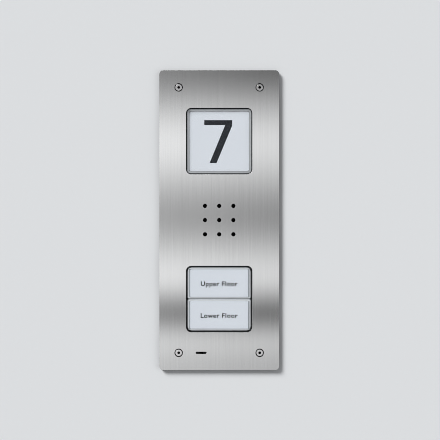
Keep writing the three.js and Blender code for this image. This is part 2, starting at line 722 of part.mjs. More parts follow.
function speechModule() {
  const gasketHole = GASKET.diameter - 2 * GASKET.band;
  const gasketBack = gasketFront - GASKET.thickness;
  const membrane = disc(MEMBRANE.diameter, membraneBack, behindPlate, [0, 0], 24);
  const gasket = ring(GASKET.diameter, gasketHole, gasketBack, gasketFront, [0, 0], 24);
  const magnet = disc(MAGNET.diameter, magnetBack, magnetFront, [0, 0], 24);
  const chip = block(CHIP.width, CHIP.height, onMainBoard - CHIP.thickness, onMainBoard);
  const capacitor = disc(CAPACITOR.diameter, onMainBoard - CAPACITOR.height, onMainBoard);
  const capacitorX = -mainBoardWidth / 2 + CAPACITOR.fromEdge;
  return groupAt(
    [0, 0],
    piece('speaker_membrane', membrane, FINISH.foam),
    piece('speaker_gasket', gasket, FINISH.foam),
    speakerBasket(),
    speakerCone(),
    piece('speaker_magnet', magnet, FINISH.magnet),
    speechHousing(),
    ...studNuts('speech_housing'),
    mainBoard(),
    piece('speech_chip', chip, FINISH.chipBlack, [CHIP.x, CHIP.y]),
    piece('supply_capacitor', capacitor, FINISH.capacitorSleeve, [capacitorX, CAPACITOR.y]),
    terminalBlock(),
    ...volumeTrimmer(),
  );
}

// ---------------------------------------------------------------- microphone

const bootBack = behindPlate - MICROPHONE.lip - MICROPHONE.height - GAP;

function microphone() {
  const capsuleFront = behindPlate - MICROPHONE.lip - GAP;
  const boot = cut(
    disc(MICROPHONE.boot, bootBack, behindPlate, [0, 0], 20),
    disc(MICROPHONE.diameter + FIT, bootBack - 1, capsuleFront + GAP, [0, 0], 20),
    disc(MICROPHONE.channel, bootBack, behindPlate + 1, [0, 0], 12),
  );
  const capsule = disc(MICROPHONE.diameter - FIT, capsuleFront - MICROPHONE.height, capsuleFront, [0, 0], 20);
  return groupAt(
    [-MIC_SLOT.offset, -screwY],
    piece('microphone_boot', boot, FINISH.rubber),
    piece('microphone_capsule', capsule, FINISH.capsuleMetal),
  );
}

// ---------------------------------------------------------------- leads

function plugOn(boardBack, at) {
  return block(PLUG.width, PLUG.height, boardBack - GAP - PLUG.depth, boardBack - GAP, at);
}

function leadAlong(points, diameter, steps) {
  const curve = new THREE.CatmullRomCurve3(points.map(([x, y, z]) => new THREE.Vector3(x, y, z)), false, 'centripetal');
  return tube(curve, diameter, steps);
}

// A lead with a plug at each end, from the back of a module's board to the back of the main board.
function boardLead(name, [x, fromY], fromBack, toY) {
  const crest = mainBoardBack - 2 * PLUG.depth;
  const body = join(
    plugOn(fromBack, [x, fromY]),
    plugOn(mainBoardBack, [x, toY]),
    leadAlong(
      [
        [x, fromY, fromBack - PLUG.depth / 2],
        [x, fromY, fromBack - 2 * PLUG.depth],
        [x, fromY + (toY - fromY) * 0.3, (fromBack + crest) / 2 - PLUG.depth],
        [x, fromY + (toY - fromY) * 0.75, crest - PLUG.depth / 4],
        [x, toY, crest],
        [x, toY, mainBoardBack - PLUG.depth / 2],
      ],
      LEAD.flat,
      24,
    ),
  );
  return piece(name, body, FINISH.leadGrey);
}

function microphoneLead() {
  const x = -MIC_SLOT.offset;
  const [startY, endY] = [-screwY, -MAIN_BOARD.height / 2 + 4];
  const behindButtons = buttonBoardBack - 8;
  const crest = mainBoardBack - 2 * PLUG.depth;
  const body = join(
    plugOn(mainBoardBack, [x, endY]),
    leadAlong(
      [
        [x, startY, bootBack - GAP],
        [x, startY, bootBack - 6],
        [x, startY + 4, behindButtons],
        [x, startY + 18, behindButtons - 4],
        [x, -windowY, behindButtons - 6],
        [x, endY - 24, behindButtons - 7],
        [x, endY - 8, crest],
        [x, endY, crest],
        [x, endY, mainBoardBack - PLUG.depth / 2],
      ],
      LEAD.speaker,
      36,
    ),
  );
  return piece('microphone_lead', body, FINISH.leadGrey);
}

function speakerLead() {
  const { x, y } = LEAD_WAY;
  const start = (tabEnd - LEAD.speaker) * Math.SQRT1_2;
  const body = leadAlong(
    [
      [start, -start, basketFlangeBack - GAP],
      [start, -start, basketFlangeBack - 6],
      [(start + x) / 2, (y - start) / 2, (basketFlangeBack + housingBack) / 2],
      [x, y, housingFloor + 1],
      [x, y, mainBoardBack - 1],
      [x, y + 1.5, mainBoardBack - 4],
      [x, y + 5, mainBoardBack - 4],
      [x, y + 6.5, mainBoardBack - 2.5],
      [x, y + 6.5, mainBoardBack - 2 * GAP],
    ],
    LEAD.speaker,
    24,
  );
  return piece('speaker_lead', body, FINISH.leadGrey);
}

function leads() {
  const plugY = MAIN_BOARD.height / 2 - 4;
  const boardPlugY = boardSize / 2 - 8;
  return [
    boardLead('number_lead', [-12, windowY - boardPlugY], numberBoardBack, plugY),
    boardLead('button_lead', [8, -windowY + boardPlugY], buttonBoardBack, -plugY),
    microphoneLead(),
    speakerLead(),
  ];
}

// ---------------------------------------------------------------- the whole panel

const panel = new THREE.Group();
panel.rotation.x = Math.PI / 2;
panel.add(
  frontPlate(),
  plateSeal(),
  ...plateScrews(),
  wallBox(),
  ...threadedInserts(),
  cableGrommet(),
  numberModule(),
  speechModule(),
  buttonModule(),
  microphone(),
  ...leads(),
);

const intercom = new THREE.Group();
intercom.add(panel);

export default intercom;
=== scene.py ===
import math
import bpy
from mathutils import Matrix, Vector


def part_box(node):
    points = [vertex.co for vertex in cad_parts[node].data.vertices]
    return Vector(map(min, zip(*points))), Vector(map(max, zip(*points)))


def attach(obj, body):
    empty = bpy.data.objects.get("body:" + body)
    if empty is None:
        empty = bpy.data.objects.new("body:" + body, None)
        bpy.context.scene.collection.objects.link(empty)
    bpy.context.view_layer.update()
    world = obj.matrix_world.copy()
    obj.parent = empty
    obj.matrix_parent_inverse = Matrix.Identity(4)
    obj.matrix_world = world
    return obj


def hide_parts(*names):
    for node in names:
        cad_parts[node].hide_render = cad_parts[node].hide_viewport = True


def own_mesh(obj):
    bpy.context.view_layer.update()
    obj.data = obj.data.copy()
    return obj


bl_info = {
    "name": "Door intercom panel",
    "version": (1, 0, 0),
    "blender": (4, 5, 0),
    "location": "View3D > Sidebar > Intercom",
    "description": "Builds the detailed pieces of a flush-mounted door intercom panel around its frame",
    "category": "Add Mesh",
}

import bmesh
import bpy
from bpy.props import FloatProperty, FloatVectorProperty, IntProperty, PointerProperty, StringProperty
from mathutils import Matrix, Vector
from mathutils.geometry import tessellate_polygon

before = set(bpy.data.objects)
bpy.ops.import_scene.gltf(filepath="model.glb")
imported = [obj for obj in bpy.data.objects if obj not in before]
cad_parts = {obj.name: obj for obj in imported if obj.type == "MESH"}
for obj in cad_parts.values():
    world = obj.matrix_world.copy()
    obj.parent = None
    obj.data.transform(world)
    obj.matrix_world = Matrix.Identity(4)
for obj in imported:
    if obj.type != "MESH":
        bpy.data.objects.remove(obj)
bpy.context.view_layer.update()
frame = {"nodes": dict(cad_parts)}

MM = 0.001
SAME_POINT = 0.0001 * MM
HALVES = (("upper", 1), ("lower", -1))
SIDES = ("left", "right")
CORNERS = ((-1, 1), (1, 1), (-1, -1), (1, -1))
CORNER_NAMES = [f"{half}_{side}" for half, _ in HALVES for side in SIDES]


# ------------------------------------------------------------------ places, read from the frame


class Room:
    """The space of a CAD node in the panel's own terms: across, up, and out of the wall."""

    def __init__(self, node):
        low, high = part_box(node)
        self.left, self.right = low.x, high.x
        self.bottom, self.top = low.z, high.z
        self.back, self.front = -high.y, -low.y

    @property
    def centre(self):
        return (self.left + self.right) / 2, (self.bottom + self.top) / 2

    @property
    def width(self):
        return self.right - self.left

    @property
    def height(self):
        return self.top - self.bottom

    @property
    def depth(self):
        return self.front - self.back


def place(across, up, out):
    """A point of the panel as a point of the row frame, whose +Y goes into the wall."""
    return Vector((across, -out, up))


# ------------------------------------------------------------------ outlines and mesh building


class Outline:
    """A rectangle with round corners. One whose radius is half its width is a circle."""

    LEAST_RADIUS = 0.02 * MM
    LEAST_STEP = 0.001 * MM

    def __init__(self, centre, width, height, radius, steps=8):
        self.centre, self.width, self.height, self.steps = centre, width, height, steps
        self.radii = radius if isinstance(radius, tuple) else (radius,) * 4

    def at(self, offset=0.0):
        """The corner points, anticlockwise from the top right, moved outwards by offset."""
        points = []
        for quarter, radius in enumerate(self.radii):
            radius = max(radius + offset, self.LEAST_RADIUS)
            across = 1 if quarter in (0, 3) else -1
            up = 1 if quarter in (0, 1) else -1
            middle_x = self.centre[0] + across * (self.width / 2 + offset - radius)
            middle_y = self.centre[1] + up * (self.height / 2 + offset - radius)
            for step in range(self.steps + 1):
                turn = (quarter + step / self.steps) * math.pi / 2
                point = Vector((middle_x + radius * math.cos(turn), middle_y + radius * math.sin(turn)))
                if not points or (point - points[-1]).length > self.LEAST_STEP:
                    points.append(point)
        if (points[0] - points[-1]).length < self.LEAST_STEP:
            points.pop()
        return points


class Round:
    """A circle or a regular polygon, with its points spread evenly."""

    LEAST_RADIUS = 0.01 * MM

    def __init__(self, centre, diameter, sides=32, turn=0.0):
        self.centre, self.radius, self.sides, self.turn = centre, diameter / 2, sides, turn

    def reach(self, _, offset):
        """How far a point lies from the centre. Here all the points lie equally far."""
        return max(self.radius + offset, self.LEAST_RADIUS)

    def at(self, offset=0.0):
        """The points, anticlockwise from the right, moved outwards by offset."""
        x, y = self.centre
        points = []
        for step in range(self.sides):
            angle, radius = self.turn + step / self.sides * math.tau, self.reach(step, offset)
            points.append((x + radius * math.cos(angle), y + radius * math.sin(angle)))
        return points


class Knurled(Round):
    """A circle with straight knurling on its outer part."""

    SKIN = 0.5 * MM

    def __init__(self, centre, diameter, teeth, depth):
        super().__init__(centre, diameter, 2 * teeth)
        self.depth = depth

    def reach(self, step, offset):
        is_groove = step % 2 and offset > -self.SKIN
        return self.radius + offset - (self.depth if is_groove else 0.0)


def soften(profile, radius, steps=3):
    """The same run of (offset, depth) points with each inner corner rounded."""
    largest_share = 0.45  # of a side, so that the roundings at its two ends never meet
    points = [Vector(p) for p in profile]
    result = [points[0]]
    for before, corner, after in zip(points, points[1:], points[2:]):
        back, ahead = before - corner, after - corner
        reach = min(radius, back.length * largest_share, ahead.length * largest_share)
        start, end = corner + back.normalized() * reach, corner + ahead.normalized() * reach
        for step in range(steps + 1):
            t = step / steps
            result.append(start * (1 - t) ** 2 + corner * 2 * t * (1 - t) + end * t**2)
    return [tuple(p) for p in result + [points[-1]]]


class Form:
    """A mesh under construction, made of closed sweeps of a profile round an outline."""

    def __init__(self):
        self.mesh = bmesh.new()

    def loop(self, points, depth):
        return [self.mesh.verts.new(place(x, y, depth)) for x, y in points]

    def band(self, first, second):
        count = len(first)
        for i in range(count):
            j = (i + 1) % count
            self.mesh.faces.new((first[i], second[i], second[j], first[j]))

    def cover(self, loops):
        if len(loops) == 1:
            self.mesh.faces.new(loops[0])
            return
        corners = [vert for loop in loops for vert in loop]
        for triangle in tessellate_polygon([[vert.co for vert in loop] for loop in loops]):
            self.mesh.faces.new([corners[i] for i in triangle])

    def sweep(self, outline, profile, holes=(), sockets=(), ring=False):
        """A closed body: bands between the profile's steps, then both ends covered, or joined as a ring.
        Holes go right through it, and sockets only into its front."""
        runs = [[self.loop(shape.at(offset), depth) for offset, depth in steps]
                for shape, steps in [(outline, profile), *holes, *sockets]]
        for run in runs:
            for first, second in zip(run, run[1:]):
                self.band(first, second)
        if ring:
            self.band(runs[0][-1], runs[0][0])
        else:
            through = 1 + len(holes)
            self.cover([run[0] for run in runs])
            self.cover([run[-1] for run in runs[:through]])
            for run in runs[through:]:
                self.cover([run[-1]])
        return self

    def prism(self, points, back, front):
        """A straight-sided body with any outline."""
        near, far = self.loop(points, front), self.loop(points, back)
        self.band(near, far)
        self.cover([near])
        self.cover([far])
        return self

    def moved(self, matrix):
        self.mesh.transform(matrix)
        return self

    def to_object(self, name, material=None):
        bmesh.ops.remove_doubles(self.mesh, verts=self.mesh.verts, dist=SAME_POINT)
        bmesh.ops.dissolve_degenerate(self.mesh, edges=self.mesh.edges, dist=SAME_POINT)
        bmesh.ops.recalc_face_normals(self.mesh, faces=self.mesh.faces)
        data = bpy.data.meshes.new(name)
        self.mesh.to_mesh(data)
        self.mesh.free()
        return add_object(name, data, material)


def add_object(name, data, material=None):
    made = bpy.data.objects.new(name, data)
    bpy.context.scene.collection.objects.link(made)
    if material is not None:
        data.materials.clear()
        data.materials.append(material)
    return made


SHARP_FROM = math.radians(28)
BENT_FROM = 0.005
SQUARE_FROM = 0.99999
LARGE_AREA = 4 * MM * MM


def shade(data):
    """Smooth shading that stays flat on the large flat faces and breaks at real edges."""
    form = bmesh.new()
    form.from_mesh(data)
    for face in form.faces:
        face.smooth = True
    form.normal_update()

    def is_flat(face):
        straight = max(abs(value) for value in face.normal) > SQUARE_FROM
        return straight and (abs(face.normal.y) > SQUARE_FROM or face.calc_area() > LARGE_AREA)

    flats = {face for face in form.faces if is_flat(face)}
    for edge in form.edges:
        angle = edge.calc_face_angle(0.0) if len(edge.link_faces) == 2 else 0.0
        ends_flat = angle > BENT_FROM and any(face in flats for face in edge.link_faces)
        edge.smooth = not (angle > SHARP_FROM or ends_flat)
    form.to_mesh(data)
    form.free()


def applied(made, material):
    """The object with its modifiers turned into its mesh."""
    graph = bpy.context.evaluated_depsgraph_get()
    data = bpy.data.meshes.new_from_object(made.evaluated_get(graph))
    name = made.name
    bpy.data.objects.remove(made)
    data.name = name
    return add_object(name, data, material)


def finish(made, body, slot, *nodes):
    """Shades a piece, hangs it on the body it rides on, and hides the CAD nodes it stands in for."""
    shade(made.data)
    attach(made, body)
    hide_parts(*nodes)
    return made


# ------------------------------------------------------------------ node trees


class Value:
    """A node's output. Arithmetic on it adds Math nodes to its tree."""

    def __init__(self, tree, socket):
        self.tree, self.socket = tree, socket

    def _math(self, operation, first, second):
        return self.tree.calc(operation, first, second)

    def __add__(self, other):
        return self._math("ADD", self, other)

    def __radd__(self, other):
        return self._math("ADD", other, self)

    def __sub__(self, other):
        return self._math("SUBTRACT", self, other)

    def __rsub__(self, other):
        return self._math("SUBTRACT", other, self)

    def __mul__(self, other):
        return self._math("MULTIPLY", self, other)

    def __rmul__(self, other):
        return self._math("MULTIPLY", other, self)


class Tree:
    """A node tree in which every node comes from one method."""

    def __init__(self, tree):
        self.tree = tree

    def add(self, kind, settings=None, sockets=None, output=0):
        node = self.tree.nodes.new(kind)
        for name, value in (settings or {}).items():
            if name == "stops":
                self._set_stops(node.color_ramp, value)
            else:
                setattr(node, name, value)
        for name, value in (sockets or {}).items():
            target = node.inputs[name]
            if isinstance(value, Value):
                self.tree.links.new(value.socket, target)
            else:
                target.default_value = value
        return Value(self, node.outputs[output]) if len(node.outputs) else None

    def calc(self, operation, *terms):
        """A Math node on numbers or outputs."""
        return self.add("ShaderNodeMath", {"operation": operation}, dict(enumerate(terms)))

    def _set_stops(self, ramp, stops):
        while len(ramp.elements) < len(stops):
            ramp.elements.new(0.5)
        for element, (position, value) in zip(ramp.elements, stops):
            element.position = position
            element.color = (value, value, value, 1) if isinstance(value, float) else (*value, 1)


MIX_FIRST, MIX_SECOND, MIX_RESULT = 6, 7, 2  # a Mix node's sockets when it mixes colours


class Paint(Tree):
    """A material whose patterns read the piece's own Object coordinates, in metres."""

    def __init__(self, name, **surface):
        self.material = bpy.data.materials.new(name)
        self.material.use_nodes = True
        super().__init__(self.material.node_tree)
        self.surface = self.tree.nodes["Principled BSDF"]
        self.output = self.tree.nodes["Material Output"].inputs["Surface"]
        self.front = Value(self, self.surface.outputs[0])
        for socket, value in surface.items():
            self.set(socket, value)

    def set(self, socket, value):
        target = self.surface.inputs[socket.replace("_", " ")]
        if isinstance(value, Value):
            self.tree.links.new(value.socket, target)
        elif target.type == "RGBA":
            target.default_value = (*value, 1)
        else:
            target.default_value = value

    def where(self, scale=(1, 1, 1)):
        """Object coordinates, stretched."""
        spot = self.add("ShaderNodeTexCoord", output="Object")
        return self.add("ShaderNodeMapping", {}, {"Vector": spot, "Scale": scale})

    def axis(self, name):
        """One of the three Object coordinates."""
        return self.add("ShaderNodeSeparateXYZ", {}, {"Vector": self.where()}, output=name)

    def size_of(self, value):
        return self.calc("ABSOLUTE", value)

    def larger(self, first, second):
        return self.calc("MAXIMUM", first, second)

    def noise(self, scale, detail=4.0, stretch=(1, 1, 1), roughness=0.55):
        sockets = {"Vector": self.where(stretch), "Scale": scale, "Detail": detail, "Roughness": roughness}
        return self.add("ShaderNodeTexNoise", {}, sockets)

    def ramp(self, value, *stops, smooth=False):
        """A colour ramp from (position, value) stops, straight or eased between them."""
        tones = self.add("ShaderNodeValToRGB", {"stops": stops}, {"Fac": value})
        tones.socket.node.color_ramp.interpolation = "EASE" if smooth else "LINEAR"
        return tones

    def mix(self, factor, first, second, blend="MIX"):
        first, second = (tone if isinstance(tone, Value) else (*tone, 1) for tone in (first, second))
        settings = {"data_type": "RGBA", "blend_type": blend}
        sockets = {"Factor": factor, MIX_FIRST: first, MIX_SECOND: second}
        return self.add("ShaderNodeMix", settings, sockets, output=MIX_RESULT)

    def bump(self, height, depth, strength=1.0):
        sockets = {"Height": height, "Distance": depth, "Strength": strength}
        self.set("Normal", self.add("ShaderNodeBump", {}, sockets))

    def share(self, other, factor):
        """Mixes another shader in by factor, in front of the output."""
        self.front = self.add("ShaderNodeMixShader", {}, {0: factor, 1: self.front, 2: other})
        self.tree.links.new(self.front.socket, self.output)


# ------------------------------------------------------------------ materials


RIM_HAZE = (0.70, 0.73, 0.76)
# painted shade for the screw sockets and the sunk sides round the heads
SOCKET_SHADE = (0.012, 0.012, 0.013)
# painted shade for the gap round the number cover
GAP_SHADE = (0.012, 0.013, 0.015)
PER_RAMP = 200.0  # the whole width of a ramp then stands for 5 mm


def shades(colour, variation):
    """A darker and a lighter shade of a colour."""
    return tuple(c * (1 - variation) for c in colour), tuple(min(c * (1 + variation), 1.0) for c in colour)


def brushed_steel(name, colour, streaks, roughness, anisotropy):
    """Stainless steel with fine upright brush lines. It needs a UV map with u across the lines."""
    paint = Paint(name, Metallic=1.0, Anisotropic=anisotropy)
    fine = paint.noise(1.0, 3.0, (4200, 4200, 22))
    broad = paint.noise(1.0, 4.0, (620, 620, 3.5))
    grain = fine * 0.65 + broad * 0.35
    tone = paint.ramp(grain, (0.32, 0.0), (0.68, 1.0))
    paint.set("Base_Color", paint.mix(tone, *shades(colour, streaks)))
    paint.set("Roughness", roughness + 0.10 * (fine - 0.5))
    paint.bump(fine, 0.004 * MM, 0.25)
    paint.set("Tangent", paint.add("ShaderNodeTangent", {"direction_type": "UV_MAP", "uv_map": "Sheet"}))
    return paint.material


def plain_metal(name, colour, roughness, turned=(900, 900, 900), wear=0.12):
    """Machined or plated metal: fine tool marks, with slightly dull patches."""
    paint = Paint(name, Metallic=1.0)
    marks = paint.noise(1.0, 3.0, turned)
    patches = paint.noise(160.0, 4.0)
    tone = paint.ramp(patches, (0.3, 1 - wear), (0.7, 1.0))
    paint.set("Base_Color", paint.mix(1.0, colour, tone, "MULTIPLY"))
    paint.set("Roughness", roughness + 0.16 * (marks - 0.5) + 0.12 * (patches - 0.5))
    paint.bump(marks, 0.01 * MM, 0.3)
    return paint.material


def screw_head(colour, face):
    """Bright turned screw heads, with painted shade, near-black, from 0.15 mm to about 2.2 mm under their
    front face: in the sockets and on the sunk sides round the heads.
    Face is how far the heads' front stands out from the wall."""
    paint = Paint("Screw heads", Metallic=1.0)
    down = paint.axis("Y") + face
    marks = paint.noise(1.0, 3.0, (1500, 1500, 1500))
    # painted shade: the ramp turns the steel near-black from 0.15 mm to about 2.2 mm under the front face
    level = 0.5 + down * PER_RAMP + 0.06 * (marks - 0.5)
    unshaded = paint.ramp(level, (0.507, 1.0), (0.53, 0.0), (0.93, 0.0), (0.96, 1.0))
    paint.set("Base_Color", paint.mix(unshaded, SOCKET_SHADE, colour))
    paint.set("Roughness", 0.24 + 0.12 * (marks - 0.5))
    paint.bump(marks, 0.006 * MM, 0.3)
    return paint.material


def moulded(name, colour, roughness=0.42, grain=0.02 * MM, size=1900.0, **more):
    """Moulded plastic, rubber or enamel: a fine eroded skin, with slow changes of tone."""
    paint = Paint(name, **more)
    skin = paint.noise(size, 3.0)
    slow = paint.noise(45.0, 3.0)
    paint.set("Base_Color", paint.mix(slow, *shades(colour, 0.08)))
    paint.set("Roughness", roughness + 0.14 * (skin - 0.5) + 0.08 * (slow - 0.5))
    paint.bump(skin, grain, 0.35)
    return paint.material


def frame_with_gap_shade(name, inside, outside, middle, reach):
    """Moulded plastic that is pale inside a square about middle, under the clear rims, with painted shade
    outside that square: near-black where the gap round the window lies in shade.
    """
    paint = Paint(name)
    farthest = paint.larger(paint.size_of(paint.axis("X")), paint.size_of(paint.axis("Z") - middle))
    # painted shade: outside the square the plastic turns near-black, for the shade in the gap round the
    # window
    beyond = paint.calc("GREATER_THAN", farthest, reach)
    skin = paint.noise(1900.0, 3.0)
    shaded = tuple(c * 0.94 for c in inside)
    paint.set("Base_Color", paint.mix(beyond, paint.mix(skin, shaded, inside), outside))
    paint.set("Roughness", 0.42 + 0.14 * (skin - 0.5))
    paint.bump(skin, 0.02 * MM, 0.35)
    return paint.material


def clear_acrylic(name, tint, middle, pair, pane, rim, haze, foot):
    """Clear moulded acrylic that lamps shine through, with a hazy rim round its pane.
    Pair is how far above and below middle a piece's own centre lies, and pane its half width and height.
    Foot is how much painted shade, a near-black diffuse, covers the piece outside its rim, where the gap
    round it lies in shade."""
    corner, overlap = 1 * MM, 0.1 * MM
    paint = Paint(name, IOR=1.49, Transmission_Weight=1.0, Specular_IOR_Level=0.3, Base_Color=tint)
    polish = paint.noise(70.0, 4.0)
    paint.set("Roughness", 0.03 + 0.03 * (polish - 0.5))
    across = paint.larger(paint.size_of(paint.axis("X")) - (pane[0] - corner), 0.0)
    own_height = paint.size_of(paint.size_of(paint.axis("Z") - middle) - pair)
    up = paint.larger(own_height - (pane[1] - corner), 0.0)
    outward = paint.calc("POWER", across * across + up * up, 0.5)
    share = PER_RAMP * (outward - (corner - overlap))
    rim_share = PER_RAMP * (rim + overlap)
    band = paint.ramp(share, (0.0, 0.0), (0.02, 1.0), (rim_share - 0.04, 1.0), (rim_share, 0.5))
    veil = paint.add("ShaderNodeBsdfDiffuse", {}, {"Color": (*RIM_HAZE, 1)})
    paint.share(veil, band * (haze + 0.2 * (polish - 0.5)))
    # painted shade: a near-black diffuse mixed in outside the rim, where the gap round the piece lies in
    # shade
    shade_line = paint.add("ShaderNodeBsdfDiffuse", {}, {"Color": (*GAP_SHADE, 1)})
    paint.share(shade_line, foot * paint.ramp(share, (rim_share, 0.0), (rim_share + 0.02, 1.0)))
    for ray in ("Is Shadow Ray", "Is Diffuse Ray"):
        through = paint.add("ShaderNodeBsdfTransparent", {}, {"Color": (0.98, 0.985, 0.99, 1)})
        paint.share(through, paint.add("ShaderNodeLightPath", output=ray))
    return paint.material


def printed_card(name, colour):
    """A printed plastic-coated card: a slight mottle, and a faint fibre texture."""
    paint = Paint(name, Coat_Roughness=0.2)
    mottle = paint.noise(90.0, 5.0)
    fibres = paint.noise(1.0, 4.0, (2600, 2600, 900))
    paint.set("Base_Color", paint.mix(mottle * 0.6 + fibres * 0.4, *shades(colour, 0.012)))
    paint.set("Roughness", 0.55 + 0.10 * (fibres - 0.5))
    paint.bump(fibres, 0.01 * MM, 0.2)
    return paint.material


def circuit_board():
    """Green solder mask over a faint pattern of copper tracks."""
    paint = Paint("Circuit board", Coat_Weight=0.35, Coat_Roughness=0.15)
    flat = paint.add("ShaderNodeCombineXYZ", {}, {"X": paint.axis("X"), "Y": paint.axis("Z")})
    lines = paint.add("ShaderNodeTexBrick", {}, {"Vector": flat, "Scale": 110.0, "Mortar Size": 0.018,
                                                 "Brick Width": 1.3, "Row Height": 0.11}, output="Fac")
    areas = paint.ramp(paint.noise(90.0, 1.0), (0.48, 0.0), (0.52, 1.0))
    tracks = lines * areas
    paint.set("Base_Color", paint.mix(tracks, (0.012, 0.085, 0.045), (0.03, 0.155, 0.08)))
    weave = paint.noise(2600.0, 2.0)
    paint.set("Roughness", 0.38 + 0.15 * (weave - 0.5))
    paint.bump(tracks, 0.03 * MM, 0.5)
    return paint.material


def open_foam(name, colour):
    """Foam or felt: open cells that the light sinks into."""
    paint = Paint(name, Roughness=0.95)
    cells = paint.add("ShaderNodeTexVoronoi", {}, {"Vector": paint.where(), "Scale": 1400.0})
    tone = paint.ramp(cells, (0.05, 0.35), (0.6, 1.0))
    paint.set("Base_Color", paint.mix(1.0, colour, tone, "MULTIPLY"))
    paint.bump(cells, 0.2 * MM, 0.8)
    return paint.material


def speaker_cloth():
    """Water-repellent black cloth with a plain weave."""
    paint = Paint("Speaker cloth", Roughness=0.95, Specular_IOR_Level=0.1)
    over, under = (paint.add("ShaderNodeTexWave", {"bands_direction": way},
                             {"Vector": paint.where(), "Scale": 700.0}) for way in "XZ")
    weave = over * under
    paint.set("Base_Color", paint.mix(weave, (0.002, 0.002, 0.002), (0.009, 0.009, 0.01)))
    paint.bump(weave, 0.08 * MM, 0.8)
    return paint.material


def pressed_paper():
    """The dark pressed paper of a loudspeaker cone."""
    paint = Paint("Pressed paper", Roughness=0.8)
    fibres = paint.noise(1100.0, 6.0)
    paint.set("Base_Color", paint.mix(fibres, (0.02, 0.019, 0.018), (0.06, 0.057, 0.052)))
    paint.bump(fibres, 0.05 * MM, 0.6)
    return paint.material


def led_body():
    """A milky white lamp body."""
    paint = Paint("Lamp body", Subsurface_Weight=0.2, Coat_Weight=0.4)
    paint.surface.inputs["Subsurface Radius"].default_value = (1 * MM, 1 * MM, 0.8 * MM)
    mottle = paint.noise(600.0, 3.0)
    paint.set("Base_Color", paint.mix(mottle, (0.80, 0.80, 0.74), (0.90, 0.89, 0.82)))
    paint.set("Roughness", 0.3 + 0.1 * mottle)
    return paint.material


def make_finishes(look, high):
    """Every finish by its material slot, so that each piece finds its own.
    High is how far the windows' centres lie above and below the middle of the panel."""
    return {
        "brushed_steel": brushed_steel("Brushed steel", look.steel, 0.055, look.steel_roughness, 0.95),
        "screw_steel": plain_metal("Screw steel", (0.46, 0.47, 0.48), 0.32),
        "screw_head": screw_head((0.70, 0.70, 0.71), Room("plate_screw_upper_left").front),
        "zinc_nut": plain_metal("Zinc plating", (0.55, 0.57, 0.60), 0.38, wear=0.2),
        "brass": plain_metal("Turned brass", (0.72, 0.52, 0.22), 0.33, (500, 500, 4000)),
        "seal_foam": open_foam("Seal foam", (0.05, 0.05, 0.052)),
        "box_plastic": moulded("Box plastic", look.box, 0.5, 0.04 * MM, 1300.0),
        "grommet_rubber": moulded("Black rubber", (0.022, 0.022, 0.024), 0.7, 0.03 * MM),
        "clear_cover": clear_acrylic("Clear cover", (0.97, 0.98, 0.99), middle=high, pair=0.0,
                                     pane=(30 * MM, 30 * MM), rim=2.1 * MM, haze=0.5, foot=0.95),
        "clear_button": clear_acrylic("Clear button", (0.96, 0.975, 0.99), middle=-high, pair=15.95 * MM,
                                      pane=(30.2 * MM, 14.25 * MM), rim=1.3 * MM, haze=0.8, foot=0.0),
        "number_sheet": printed_card("Number sheet", look.card),
        "name_label": printed_card("Name card", look.card),
        "diffuser": moulded("Light diffuser", (0.86, 0.87, 0.87), 0.5, Subsurface_Weight=0.1),
        "frame_plastic": frame_with_gap_shade("Frame plastic", look.frame, look.surround_and_gap_shade, high, 32.3 * MM),
        "dark_plastic": moulded("Dark plastic", look.surround_and_gap_shade, 0.45),
        "carrier_plastic": frame_with_gap_shade("Carrier plastic", look.carrier, look.surround_and_gap_shade, -high, 31.3 * MM),
        "circuit_board": circuit_board(),
        "led": led_body(),
        "spring_steel": plain_metal("Spring steel", (0.50, 0.50, 0.49), 0.25),
        "switch_black": moulded("Switch black", (0.02, 0.02, 0.021), 0.38),
        "plunger": moulded("Plunger plastic", (0.60, 0.59, 0.55), 0.4),
        "membrane": speaker_cloth(),
        "paper_cone": pressed_paper(),
        "basket_steel": plain_metal("Pressed steel", (0.42, 0.43, 0.44), 0.4, wear=0.25),
        "magnet": plain_metal("Magnet", (0.16, 0.16, 0.17), 0.45, wear=0.3),
        "chip": moulded("Chip resin", (0.025, 0.025, 0.027), 0.55, 0.05 * MM, 2500.0),
        "capacitor": moulded("Capacitor sleeve", (0.02, 0.035, 0.10), 0.28, Coat_Weight=0.5),
        "terminal_green": moulded("Terminal plastic", (0.03, 0.22, 0.10), 0.4),
        "trimmer_blue": moulded("Trimmer blue", (0.02, 0.10, 0.36), 0.35),
        "rotor_white": moulded("Rotor white", (0.78, 0.77, 0.72), 0.4),
        "lead_grey": moulded("Lead sleeve", (0.25, 0.25, 0.26), 0.5),
        "capsule_metal": plain_metal("Capsule shell", (0.60, 0.60, 0.60), 0.3),
        "print": moulded("Printing ink", look.ink, 0.5, 0.01 * MM, Specular_IOR_Level=0.3),
    }


# ------------------------------------------------------------------ repeats made with Geometry Nodes


